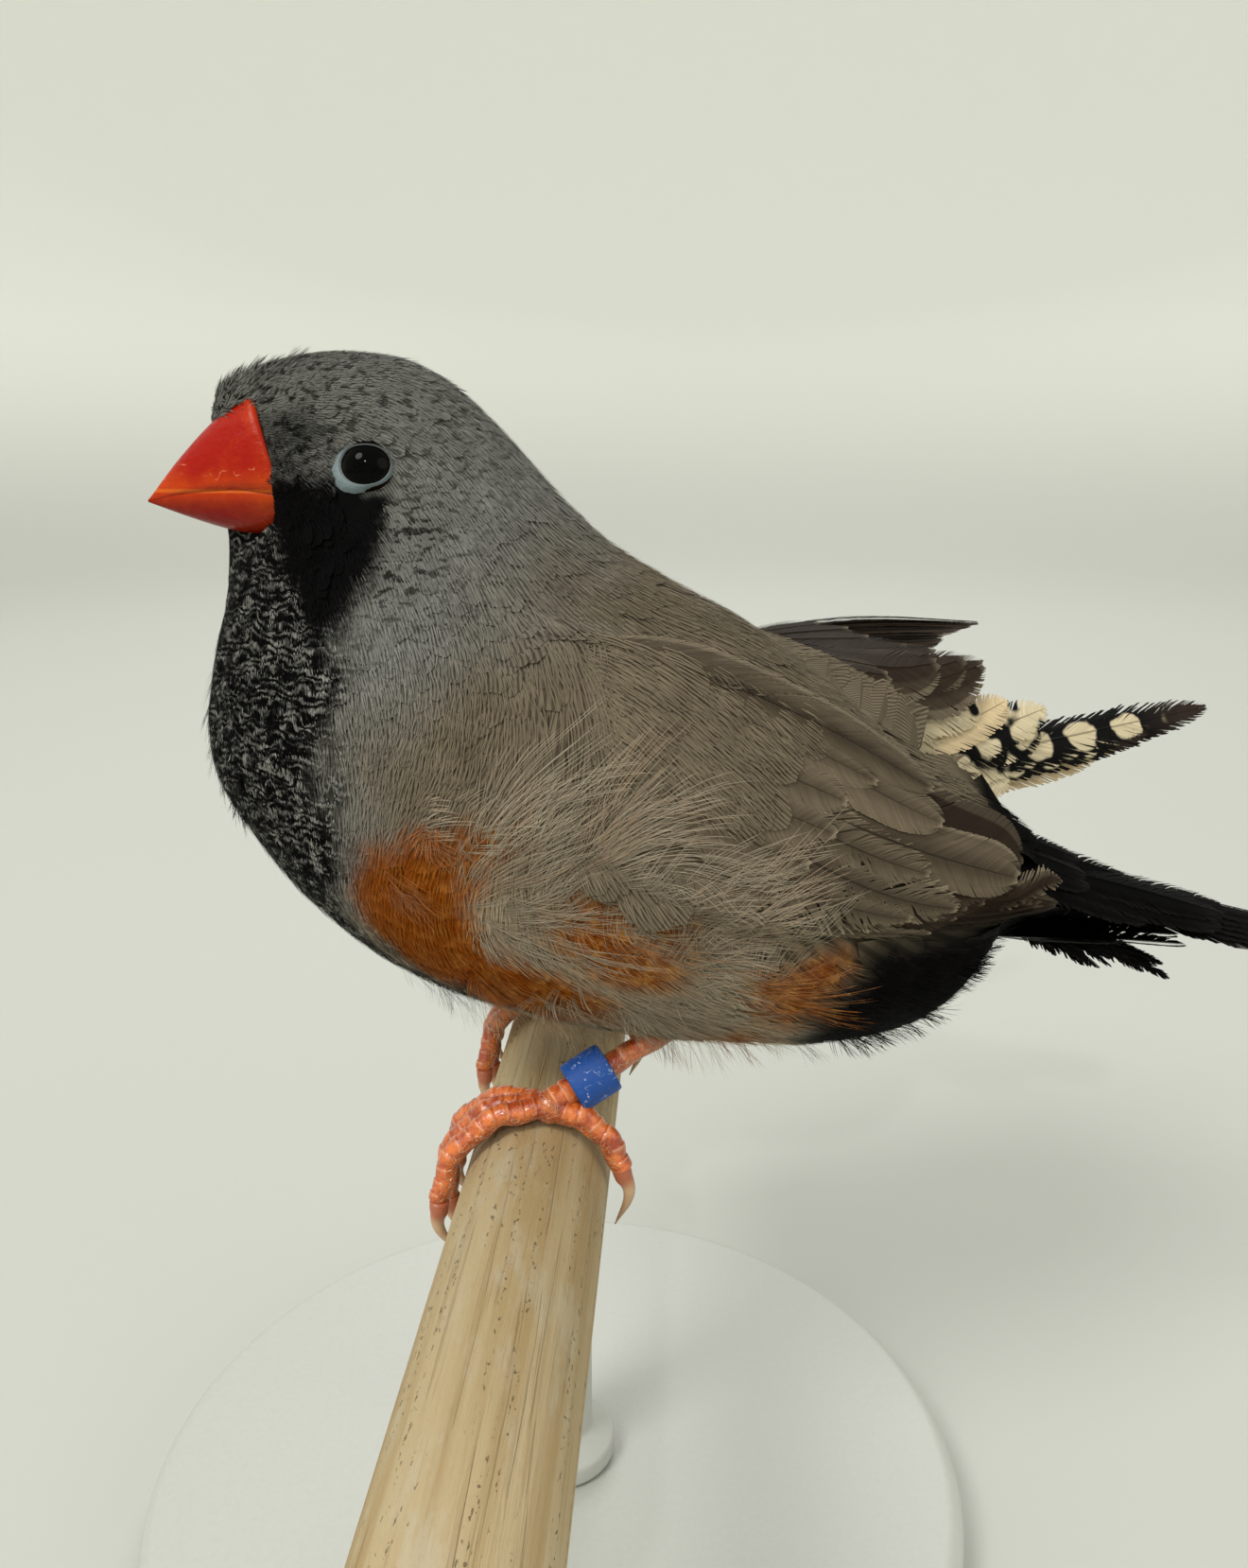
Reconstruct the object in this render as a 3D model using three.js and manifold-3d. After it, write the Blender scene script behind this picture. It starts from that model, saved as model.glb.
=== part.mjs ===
// A zebra finch, life size, on a cut length of dowel that a plain stand holds up. Millimetres, +Z up.
// The bird faces -X with its left side towards -Y. The origin is the middle of the stand's underside.
import * as THREE from "three";
import { mergeVertices } from "three/addons/utils/BufferGeometryUtils.js";
import Module from "manifold-3d";

const wasm = await Module();
wasm.setup();

const { sin, cos, PI, sqrt, abs, max, min, sign } = Math;
const { lerp, degToRad, smoothstep } = THREE.MathUtils;
const UP = new THREE.Vector3(0, 0, 1);

// Driving dimensions
const GAP = 0.3; // kept between pieces that touch
const PERCH_R = 6; // a 12 mm dowel
const PERCH_HEIGHT = 44; // dowel axis above the table
const PERCH_TURN = degToRad(10.3); // dowel against the bird's cross direction
const PERCH_NEAR = 58; // dowel end towards -Y
const PERCH_FAR = 34; // dowel end towards +Y
const BASE_R = 40;
const BASE_THICK = 6;
const ROD_R = 3.5;
const EYE_R = 2.4;
const EYE_AT = [-14.0, 5.9, 58.8]; // of the left or right eye: y changes sign
const TARSUS_R = 1.05;
const TOE_R = 1.1;
const VANE_THICK = 0.55;
const VANE_CROWN = 0.15; // how far a feather's shaft line stands over its edges

// A point given by its height over the dowel's axis.
const at = (x, y, z) => new THREE.Vector3(x, y, z + PERCH_HEIGHT);

// Finishes
const paint = (color, roughness, metalness = 0) =>
  new THREE.MeshStandardMaterial({ color, roughness, metalness, side: THREE.DoubleSide });
const FINISH = {
  greyPlumage: paint(0x6f6c68, 0.85),
  brownPlumage: paint(0x5f564e, 0.8),
  darkPlumage: paint(0x17161a, 0.8),
  barredPlumage: paint(0x8d8674, 0.8),
  bill: paint(0xd2300f, 0.3),
  leg: paint(0xc9713f, 0.4),
  claw: paint(0xa98a63, 0.45),
  eye: paint(0x0a0808, 0.05),
  band: paint(0x2f56a8, 0.45),
  wood: paint(0xc9b48a, 0.75),
  stand: paint(0x2b2b2d, 0.5),
};

// Solids from rings of points, and joins and cuts of solids
function loft(rings) {
  const n = rings[0].length;
  const points = rings.flat();
  const index = [];
  for (let r = 0; r + 1 < rings.length; r++)
    for (let i = 0; i < n; i++) {
      const a = r * n + i;
      const b = r * n + ((i + 1) % n);
      index.push(a, b, b + n, a, b + n, a + n);
    }
  for (const [ring, start, flip] of [
    [rings[0], 0, true],
    [rings.at(-1), (rings.length - 1) * n, false],
  ]) {
    const middle = ring.reduce((sum, p) => sum.add(p), new THREE.Vector3()).divideScalar(n);
    points.push(middle);
    for (let i = 0; i < n; i++) {
      const pair = [start + i, start + ((i + 1) % n)];
      if (flip) pair.reverse();
      index.push(...pair, points.length - 1);
    }
  }
  const geometry = new THREE.BufferGeometry().setFromPoints(points);
  return geometry.setIndex(index);
}

function solid(geometry) {
  const bare = geometry.clone();
  bare.deleteAttribute("normal");
  bare.deleteAttribute("uv");
  const merged = mergeVertices(bare, 1e-4);
  const mesh = new wasm.Mesh({
    numProp: 3,
    vertProperties: merged.attributes.position.array,
    triVerts: new Uint32Array(merged.index.array),
  });
  const made = new wasm.Manifold(mesh);
  if (made.volume() > 0) return made;
  for (let i = 0; i < mesh.triVerts.length; i += 3)
    [mesh.triVerts[i + 1], mesh.triVerts[i + 2]] = [mesh.triVerts[i + 2], mesh.triVerts[i + 1]];
  return new wasm.Manifold(mesh);
}

const join = (solids) => solids.reduce((sum, next) => sum.add(next));

const largest = (made) =>
  made.decompose().reduce((best, next) => (next.volume() > best.volume() ? next : best));

function geometryOf(made) {
  const { numProp, numVert, vertProperties, triVerts } = made.getMesh();
  const xyz = new Float32Array(numVert * 3);
  for (let i = 0; i < numVert; i++)
    xyz.set(vertProperties.subarray(i * numProp, i * numProp + 3), i * 3);
  const geometry = new THREE.BufferGeometry()
    .setAttribute("position", new THREE.BufferAttribute(xyz, 3))
    .setIndex(new THREE.BufferAttribute(triVerts, 1));
  geometry.computeVertexNormals();
  return geometry;
}

const bird = new THREE.Group();
bird.name = "zebra_finch";

function piece(name, made, material) {
  const mesh = new THREE.Mesh(geometryOf(largest(made)), material);
  mesh.name = name;
  bird.add(mesh);
}

// Trunk: the sections of the body from the face to the tail root. Each lies in a plane that runs across the
// body, from a point on the back to a point on the belly. Its half widths are those a fifth of the way down,
// halfway down and a fifth from the bottom.
const SECTIONS = [
  { name: "culmen edge", back: [-25.8, 62.6], belly: [-25.2, 53.9], wide: [0.9, 0.9, 0.9] },
  { name: "brow", back: [-25.0, 64.4], belly: [-25.2, 53.2], wide: [1.5, 1.1, 1.1] },
  { name: "forehead", back: [-23.6, 65.5], belly: [-25.2, 52.2], wide: [2.1, 1.8, 1.6] },
  { name: "fore crown", back: [-21.2, 66.4], belly: [-25.3, 51.0], wide: [3.1, 2.6, 2.1] },
  { name: "front of eye", back: [-18.0, 67.1], belly: [-25.5, 49.2], wide: [5.0, 3.8, 3.0] },
  { name: "crown", back: [-14.2, 67.3], belly: [-25.9, 47.2], wide: [6.8, 5.5, 4.7] },
  { name: "hind crown", back: [-10.0, 66.6], belly: [-26.6, 44.8], wide: [7.9, 7.0, 6.7] },
  { name: "occiput", back: [-6.2, 64.4], belly: [-27.3, 41.8], wide: [8.8, 8.5, 8.5] },
  { name: "nape", back: [-2.8, 61.2], belly: [-27.9, 37.8], wide: [9.9, 10.5, 10.6] },
  { name: "hind neck", back: [0.8, 57.2], belly: [-27.3, 33.2], wide: [11.7, 13.1, 13.0] },
  { name: "mantle", back: [5.6, 52.6], belly: [-24.6, 28.2], wide: [14.2, 16.3, 15.6] },
  { name: "shoulders", back: [11.0, 49.3], belly: [-20.2, 22.4], wide: [16.5, 18.9, 18.0] },
  { name: "back", back: [17.0, 46.0], belly: [-13.4, 16.8], wide: [17.6, 20.2, 19.6] },
  { name: "mid back", back: [23.0, 41.8], belly: [-4.0, 12.6], wide: [17.0, 20.2, 20.2] },
  { name: "lower back", back: [29.0, 37.2], belly: [8.5, 9.6], wide: [15.2, 18.6, 19.2] },
  { name: "loins", back: [34.5, 33.2], belly: [22.0, 8.2], wide: [12.2, 15.2, 16.6] },
  { name: "rump", back: [39.4, 30.2], belly: [33.0, 9.2], wide: [8.8, 10.6, 11.2] },
  { name: "tail base", back: [43.4, 27.2], belly: [38.9, 15.4], wide: [6.0, 6.8, 6.2] },
  { name: "tail root", back: [46.0, 24.8], belly: [42.4, 19.2], wide: [4.0, 4.2, 3.8] },
];
const ROUNDNESS = 0.9; // power of the sections' sine, so that they are a little fuller than an ellipse
const RINGS = 34;
const RING_POINTS = 26;

// A smooth value through a list of numbers, at t from 0 to 1.
function through(values, t) {
  const spot = t * (values.length - 1);
  const i = min(Math.floor(spot), values.length - 2);
  const u = spot - i;
  const b = values[i];
  const c = values[i + 1];
  const a = values[i - 1] ?? 2 * b - c;
  const d = values[i + 2] ?? 2 * c - b;
  const square = 2 * a - 5 * b + 4 * c - d;
  const cube = 3 * b - a - 3 * c + d;
  return 0.5 * (2 * b + (c - a) * u + square * u * u + cube * u * u * u);
}

const sectionValue = (pick, t) => through(SECTIONS.map(pick), t);

// The body's surface, grown outwards: t runs from 0 at the face to 1 at the tail root, and turn from 0 on the
// back over PI / 2 on the right side to PI on the belly.
function bodyPoint(t, turn, grow = 0) {
  const back = at(sectionValue((s) => s.back[0], t), 0, sectionValue((s) => s.back[1], t));
  const belly = at(sectionValue((s) => s.belly[0], t), 0, sectionValue((s) => s.belly[1], t));
  const down = belly.clone().sub(back).normalize();
  const share = (1 - cos(turn)) / 2;
  const [high, middle, low] = [0, 1, 2].map((k) => sectionValue((s) => s.wide[k], t));
  const from = (share - 0.2) / 0.6; // 0 at the upper width, 1 at the lower one
  const half =
    high * (1 - from) * (1 - 2 * from) + middle * 4 * from * (1 - from) + low * from * (2 * from - 1);
  const side = sign(sin(turn)) * abs(sin(turn)) ** ROUNDNESS;
  const p = back.lerp(belly, share).addScaledVector(down, -cos(turn) * grow);
  p.y = side * (half + grow);
  return p;
}

function trunk(grow = 0) {
  const turns = Array.from({ length: RING_POINTS }, (_, i) => (2 * PI * i) / RING_POINTS);
  const rings = [];
  for (let r = 0; r <= RINGS; r++) rings.push(turns.map((turn) => bodyPoint(r / RINGS, turn, grow)));
  return solid(loft(rings));
}
const body = trunk();
const bodyClear = trunk(GAP);

// Tubes and feathers
function tube(path, radii, sides) {
  const rings = path.map((p, i) => {
    const along = path[min(i + 1, path.length - 1)].clone().sub(path[max(i - 1, 0)]).normalize();
    const a = abs(along.z) < 0.9 ? UP.clone() : new THREE.Vector3(1, 0, 0);
    const u = a.cross(along).normalize();
    const v = along.clone().cross(u);
    return Array.from({ length: sides }, (_, k) => {
      const turn = (2 * PI * k) / sides;
      return p.clone().addScaledVector(u, radii[i] * cos(turn)).addScaledVector(v, radii[i] * sin(turn));
    });
  });
  return solid(loft(rings));
}

// A feather's half width at t, as a share of its widest: narrow at the quill, then full, then rounded or
// drawn out to the tip.
function featherWidth(t, tipStart) {
  const base = lerp(0.45, 1, smoothstep(t, 0, 0.45));
  const past = max(0, (t - tipStart) / (1 - tipStart));
  return base * max(0.12, sqrt(1 - min(1, past) ** 2.2));
}

// One vane: a thin closed blade along a path of points, each with the direction across and the direction out.
function vane({ path, width, tipStart, steps }) {
  const rings = [];
  for (let i = 0; i <= steps; i++) {
    const t = sin((PI / 2) * (i / steps)); // closer rings towards the tip, which is round
    const { p, across, out } = path(t);
    const half = (width / 2) * featherWidth(t, tipStart);
    const edge = (k, lift) => p.clone().addScaledVector(across, k * half).addScaledVector(out, lift);
    rings.push([
      edge(-1, -VANE_THICK / 2),
      edge(1, -VANE_THICK / 2),
      edge(1, VANE_THICK / 2),
      edge(0, VANE_THICK / 2 + VANE_CROWN),
      edge(-1, VANE_THICK / 2),
    ]);
  }
  return solid(loft(rings));
}

// A path for a vane: straight from root to tip with a bow outwards, flat side facing out.
function bowed(root, tip, out, bow) {
  const along = tip.clone().sub(root).normalize();
  const across = out.clone().cross(along).normalize();
  const up = along.clone().cross(across).normalize();
  return (t) => ({ p: root.clone().lerp(tip, t).addScaledVector(up, bow * sin(PI * t)), across, out: up });
}

// Wings: each is a curved sheet from the wrist to the tip, between an inner edge by the back and an outer
// edge by the flank.
const WINGS = {
  left: {
    side: -1,
    inner: [
      [-3, -13.4, 47.5], [7, -15.0, 45.5], [19, -13.4, 40],
      [30, -11.0, 33.2], [37.5, -9.4, 28.6], [42.8, -8.9, 24.2],
    ],
    outer: [
      [-5, -17.8, 36], [3, -20.6, 31.5], [12, -21.0, 27.4],
      [22, -17.8, 24.2], [33, -12.9, 22.0], [43, -9.6, 21.8],
    ],
    bulge: 1.0,
  },
  right: {
    side: 1,
    inner: [
      [-3, 13.4, 46.5], [7, 14.2, 45], [17, 9.4, 42.4],
      [26, 5.4, 38.8], [34.5, 3.8, 36.4], [43.6, 7.2, 38.8],
    ],
    outer: [
      [-5, 18.2, 34], [3, 21.6, 33.5], [12, 23.2, 37],
      [21, 22.6, 41.4], [32, 21.0, 43.6], [46, 19.0, 42.8],
    ],
    bulge: 1.0,
  },
};

// A wing's surface, lifted outwards: along runs from 0 at the wrist to 1 at the tip, and across from -1 at
// the inner edge to 1 at the outer one.
function wingSheet(wing) {
  const edge = (line, t) => at(...[0, 1, 2].map((k) => through(line.map((p) => p[k]), t)));
  const flat = (along, across) => {
    const inner = edge(wing.inner, along);
    const outer = edge(wing.outer, along);
    const chord = outer.clone().sub(inner);
    const ahead = edge(wing.inner, min(1, along + 0.02)).sub(edge(wing.inner, min(0.98, along)));
    const out = ahead.cross(chord).normalize().multiplyScalar(wing.side);
    const share = (1 + across) / 2;
    return inner.addScaledVector(chord, share).addScaledVector(out, wing.bulge * (1 - across * across));
  };
  return (along, across, lift = 0) => {
    const p = flat(along, across);
    const step = 0.03;
    const toTip = flat(min(1, along + step), across).sub(flat(max(0, along - step), across));
    const toOuter = flat(along, across + step).sub(flat(along, across - step));
    const out = toTip.clone().cross(toOuter).normalize().multiplyScalar(wing.side);
    return { p: p.addScaledVector(out, lift), out, toOuter: toOuter.normalize() };
  };
}

// Tiers of wing feathers from the lowest layer up. Each tier runs from its first feather to its last: where
// on the sheet the roots and tips lie, how wide the feathers are and how far they stand over it.
const TIERS = [
  {
    name: "primaries",
    count: 7,
    steps: 5,
    root: [[0.14, 0.45], [0.3, 0.25]],
    tip: [[1.0, 0.72], [0.88, -0.2]],
    width: 5.0,
    point: 0.5,
    lift: [0.0, 0.4],
  },
  {
    name: "secondaries",
    count: 5,
    steps: 5,
    root: [[0.2, 0.35], [0.38, -0.35]],
    tip: [[0.74, 0.62], [0.97, -0.7]],
    width: 6.8,
    point: 0.76,
    lift: [0.6, 0.9],
  },
  {
    name: "tertials",
    count: 3,
    steps: 5,
    root: [[0.28, -0.1], [0.22, -0.5]],
    tip: [[0.88, -0.42], [0.62, -0.8]],
    width: 7.6,
    point: 0.74,
    lift: [1.3, 1.8],
  },
  {
    name: "greater coverts",
    count: 7,
    steps: 4,
    root: [[0.16, 0.5], [0.2, -0.56]],
    tip: [[0.52, 0.84], [0.58, -0.6]],
    width: 5.6,
    point: 0.55,
    lift: [1.1, 2.0],
  },
  {
    name: "median coverts",
    count: 6,
    steps: 4,
    root: [[0.1, 0.46], [0.12, -0.5]],
    tip: [[0.36, 0.8], [0.4, -0.76]],
    width: 5.6,
    point: 0.5,
    lift: [1.5, 2.3],
  },
];

function wingFeathers(wing) {
  const sheet = wingSheet(wing);
  const feathers = [];
  for (const tier of TIERS)
    for (let i = 0; i < tier.count; i++) {
      const share = i / (tier.count - 1);
      const mix = (pair) => [lerp(pair[0][0], pair[1][0], share), lerp(pair[0][1], pair[1][1], share)];
      const [rootAlong, rootAcross] = mix(tier.root);
      const [tipAlong, tipAcross] = mix(tier.tip);
      const lift = lerp(tier.lift[0], tier.lift[1], share);
      const path = (t) => {
        const along = lerp(rootAlong, tipAlong, t);
        const across = lerp(rootAcross, tipAcross, smoothstep(t, 0, 1));
        const { p, out, toOuter } = sheet(along, across, lerp(-1.2, lift, smoothstep(t, 0, 0.45)));
        return { p, out, across: toOuter.multiplyScalar(-wing.side) };
      };
      feathers.push(vane({ path, width: tier.width, tipStart: tier.point, steps: tier.steps }));
    }
  return feathers;
}

// The folded arm under the coverts: a lens-shaped pad over the front half of the sheet, where every root is.
const ARM_REACH = 0.52; // share of the wing's length
const ARM_BELOW = 1.6; // how far the pad goes under the sheet, into the flank
function wingArm(wing) {
  const sheet = wingSheet(wing);
  const rows = 8;
  const columns = 7;
  const rings = [];
  for (let r = 0; r <= rows; r++) {
    const along = (ARM_REACH * r) / rows;
    const fade = sqrt(max(0.02, 1 - (r / rows) ** 3)) * min(1, 0.25 + r / 3);
    const spread = [0.6, 0.86, 0.96][r] ?? 1; // the wrist end is rounded
    const point = (k, top) => {
      const swell = sin(PI * min(1, max(0, (k + 0.35) / (columns + 0.7))));
      const lift = top ? fade * (0.4 + 1.4 * swell) - 0.2 : -ARM_BELOW;
      return sheet(along, spread * lerp(-0.86, 0.8, k / columns), lift).p;
    };
    const ring = [];
    for (let k = 0; k <= columns; k++) ring.push(point(k, true));
    for (let k = columns; k >= 0; k--) ring.push(point(k, false));
    rings.push(ring);
  }
  return solid(loft(rings));
}

for (const [side, wing] of Object.entries(WINGS))
  piece(
    "wing_" + side,
    join([wingArm(wing), ...wingFeathers(wing)]).subtract(bodyClear),
    FINISH.brownPlumage,
  );

// Bill: two mandibles that meet along the mouth line, from inside the face to the tip
const BILL_BASE_X = -20.6;
const BILL_TIP_X = -31.1;
const BILL_RINGS = 8;
const BILL_HALF_WIDTH = 4.3;
const BILL_LINES = {
  ridge: [64.3, 63.3, 61.6, 59.1, 56.0], // along the top, from base to tip
  mouth: [56.6, 56.9, 56.8, 56.5, 55.95],
  keel: [52.9, 53.3, 53.9, 54.8, 55.8], // along the underside
};
const billX = (t) => lerp(BILL_BASE_X, BILL_TIP_X, t);
const billHalf = (t) => BILL_HALF_WIDTH * max(0.07, 1 - t ** 1.25);

function mandible(line, facing, grow = 0) {
  const rings = [];
  const arc = 10;
  for (let r = 0; r <= BILL_RINGS; r++) {
    const t = r / BILL_RINGS;
    const mouth = through(BILL_LINES.mouth, t) + (grow ? 0 : (facing * GAP) / 2);
    const edge = through(BILL_LINES[line], t) + facing * grow;
    const half = billHalf(t) * (facing > 0 ? 1 : 0.93) + grow;
    const ring = [];
    for (let k = 0; k <= arc; k++) {
      const turn = (PI * k) / arc;
      const across = sign(cos(turn)) * abs(cos(turn)) ** 0.85;
      ring.push(at(billX(t) + lerp(grow, -grow, t), half * across, lerp(mouth, edge, sin(turn) ** 0.85)));
    }
    rings.push(ring);
  }
  return solid(loft(rings));
}
const billPocket = join([mandible("ridge", 1, GAP), mandible("keel", -1, GAP)]);
const nostril = (side) => {
  const pit = new THREE.SphereGeometry(0.45, 8, 6).translate(-22.9, side * 3.0, 61.9 + PERCH_HEIGHT);
  return solid(pit);
};
piece("bill_upper", mandible("ridge", 1).subtract(nostril(-1)).subtract(nostril(1)), FINISH.bill);
piece("bill_lower", mandible("keel", -1), FINISH.bill);

// Eyes, each in a socket with a raised ring of bare skin round it
const eyeCentre = (side) => at(EYE_AT[0], side * EYE_AT[1], EYE_AT[2]);
const eyeFacing = (side) => new THREE.Vector3(-0.15, side, 0.3).normalize();
const LID_R = 2.05;
const LID_THICK = 0.4;
const LID_OUT = 1.5; // from the middle of the eye
const ball = (side, r) => {
  const c = eyeCentre(side);
  return solid(new THREE.SphereGeometry(r, 14, 10).translate(c.x, c.y, c.z));
};
function lidRing(side) {
  const ring = new THREE.TorusGeometry(LID_R, LID_THICK, 6, 18);
  ring.applyQuaternion(new THREE.Quaternion().setFromUnitVectors(UP, eyeFacing(side)));
  const c = eyeCentre(side).addScaledVector(eyeFacing(side), LID_OUT);
  return solid(ring.translate(c.x, c.y, c.z));
}
piece("eye_left", ball(-1, EYE_R), FINISH.eye);
piece("eye_right", ball(1, EYE_R), FINISH.eye);

// Head, neck and torso: the trunk parted by two thin cuts
const NECK_CUTS = [
  { from: [-1.5, 60.5], to: [-27, 46.5] },
  { from: [8.5, 51.0], to: [-27.5, 33.5] },
];
function above({ from, to }, shift) {
  const deep = 90;
  const a = at(from[0], 0, from[1]);
  const b = at(to[0], 0, to[1]);
  const tilt = Math.atan2(a.z - b.z, a.x - b.x);
  const box = new THREE.BoxGeometry(120, 80, deep).translate(0, 0, deep / 2 + shift);
  const c = a.add(b).multiplyScalar(0.5);
  return solid(box.rotateY(-tilt).translate(c.x, c.y, c.z));
}
const [headCut, torsoCut] = NECK_CUTS;
let head = body.intersect(above(headCut, GAP / 2)).subtract(billPocket);
for (const side of [-1, 1]) head = head.add(lidRing(side)).subtract(ball(side, EYE_R + GAP));
piece("head", head, FINISH.greyPlumage);
const neck = body.subtract(above(headCut, -GAP / 2)).intersect(above(torsoCut, GAP / 2));
piece("neck", neck, FINISH.greyPlumage);
piece("torso", body.subtract(above(torsoCut, -GAP / 2)), FINISH.greyPlumage);

// Tail: twelve feathers in a shallow fan from a blunt root, the middle pair on top
const TAIL_ROOT = [41.5, 0, 21.4];
const TAIL_TIP = [73, 0, 14.3];
const TAIL_FAN = degToRad(3.2);
const TAIL_PAIRS = 6;
const TAIL_FEATHER_WIDTH = 4.6;
const tailRoot = at(...TAIL_ROOT);
const tailTip = at(...TAIL_TIP);
const tailLength = tailRoot.distanceTo(tailTip);
const tailAlong = tailTip.clone().sub(tailRoot).normalize();
const tailAcross = new THREE.Vector3(0, 1, 0);
const tailUp = tailAlong.clone().cross(tailAcross).normalize();

function tailFeathers() {
  const feathers = [];
  for (let pair = 0; pair < TAIL_PAIRS; pair++)
    for (const side of [-1, 1]) {
      const share = (pair + 0.5) / TAIL_PAIRS;
      const fan = side * share * TAIL_FAN;
      const start = tailRoot.clone().addScaledVector(tailAcross, side * share * 1.6);
      start.addScaledVector(tailUp, 0.9 - pair * 0.42 + side * 0.1);
      const along = tailAlong.clone().applyAxisAngle(tailUp, fan);
      const tip = start.clone().addScaledVector(along, tailLength * lerp(1, 0.93, share * share));
      tip.addScaledVector(tailUp, -0.5 * share);
      const out = tailUp.clone().applyAxisAngle(tailAlong, -side * share * 0.35);
      const path = bowed(start, tip, out, 0.5);
      feathers.push(vane({ path, width: TAIL_FEATHER_WIDTH, tipStart: 0.72, steps: 4 }));
    }
  return feathers;
}
const tailStump = tube(
  [0, 0.12, 0.24, 0.34].map((t) => tailRoot.clone().lerp(tailTip, t)),
  [3.2, 2.8, 2.2, 1.2],
  10,
);
piece("tail", join([tailStump, ...tailFeathers()]).subtract(bodyClear), FINISH.darkPlumage);

// Room for the tail, and for the end of a wing, that nothing laid beside them may enter.
const tailRoom = solid(
  loft(
    [-0.05, 0.1, 0.35, 0.7, 1.05].map((t, i) => {
      const middle = tailRoot.clone().lerp(tailTip, t);
      const half = [4.0, 4.2, 4.3, 5.0, 5.6][i];
      const high = [3.6, 3.6, 2.3, 2.2, 2.2][i];
      return Array.from({ length: 12 }, (_, k) => {
        const turn = (PI * (k + 0.5)) / 6;
        const soft = (v) => sign(v) * abs(v) ** 0.7;
        return middle
          .clone()
          .addScaledVector(tailAcross, half * soft(cos(turn)))
          .addScaledVector(tailUp, high * soft(sin(turn)));
      });
    }),
  ),
);
function wingRoom(wing) {
  const sheet = wingSheet(wing);
  const rings = [];
  for (let r = 0; r <= 6; r++) {
    const along = lerp(0.3, 1.04, r / 6);
    const corner = (across, lift) => sheet(min(1, along), across, lift).p;
    rings.push([corner(-1.5, -1.0), corner(0, -1.6), corner(1.5, -1.0), corner(1.5, 5), corner(-1.5, 5)]);
  }
  return solid(loft(rings));
}

// Tail coverts: tiers of vanes from a low pad on the rump or vent, over and under the tail
function coverts({ pad, padSize, out, bow, rows }) {
  const c = at(...pad);
  const cushion = solid(new THREE.SphereGeometry(1, 12, 8).scale(...padSize).translate(c.x, c.y, c.z));
  const outwards = new THREE.Vector3(...out).normalize();
  const feathers = [];
  for (const { count, width, root, tip } of rows)
    for (let i = 0; i < count; i++) {
      const share = i / (count - 1);
      const from = at(...root[0]).lerp(at(...root[1]), share);
      const to = at(...tip[0]).lerp(at(...tip[1]), share);
      const path = bowed(from, to, outwards, bow);
      feathers.push(vane({ path, width, tipStart: 0.58, steps: 4 }));
    }
  return join([cushion, ...feathers]);
}

const COVERTS = {
  uppertail_coverts_left: {
    pad: [39.6, -3.6, 24.8],
    padSize: [5.4, 2.9, 2.4],
    out: [0.3, -0.4, 1],
    bow: 0.3,
    rows: [
      {
        count: 2,
        width: 4.4,
        root: [[40, -4.2, 24.0], [40, -2.2, 24.8]],
        tip: [[62, -4.6, 17.0], [63.5, -1.6, 18.0]],
      },
      {
        count: 3,
        width: 4.2,
        root: [[38.5, -5.4, 24.2], [38.5, -1.8, 26.4]],
        tip: [[54, -5.6, 18.6], [55.5, -1.2, 20.4]],
      },
      {
        count: 3,
        width: 4.2,
        root: [[36.5, -5.6, 25.6], [36.5, -1.8, 27.8]],
        tip: [[48, -5.8, 21.2], [49, -1.2, 23.0]],
      },
    ],
  },
  uppertail_coverts_right: {
    pad: [37.4, 4.4, 29.4],
    padSize: [6.2, 2.8, 3.4],
    out: [-0.15, -0.8, 0.6],
    bow: 0.35,
    rows: [
      {
        count: 3,
        width: 4.6,
        root: [[36.5, 5.6, 28.8], [37, 4.2, 30.8]],
        tip: [[56, 9.6, 31.0], [68.5, 12.4, 34.4]],
      },
      {
        count: 3,
        width: 4.8,
        root: [[36, 5.0, 29.0], [36, 3.8, 31.6]],
        tip: [[48.5, 7.2, 29.6], [54, 9.6, 35.8]],
      },
      {
        count: 3,
        width: 4.6,
        root: [[34.5, 4.6, 29.6], [34.5, 3.8, 32.2]],
        tip: [[43.8, 5.6, 29.8], [46, 7.6, 36.4]],
      },
    ],
  },
  undertail_coverts: {
    pad: [41.0, 0, 18.2],
    padSize: [4.4, 4.2, 1.7],
    out: [-0.2, 0, -1],
    bow: 0.1,
    rows: [
      {
        count: 3,
        width: 4.2,
        root: [[41, -2.8, 17.6], [41, 2.8, 17.6]],
        tip: [[60, -2.8, 14.9], [60, 2.8, 14.9]],
      },
      {
        count: 4,
        width: 4.0,
        root: [[39.5, -3.8, 17.2], [39.5, 3.8, 17.2]],
        tip: [[52.5, -4.0, 15.6], [52.5, 4.0, 15.6]],
      },
    ],
  },
};
const taken = join([bodyClear, tailRoom, wingRoom(WINGS.left), wingRoom(WINGS.right)]);
for (const [name, spec] of Object.entries(COVERTS)) {
  const finish = name === "uppertail_coverts_right" ? FINISH.barredPlumage : FINISH.darkPlumage;
  piece(name, coverts(spec).subtract(taken), finish);
}

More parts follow.
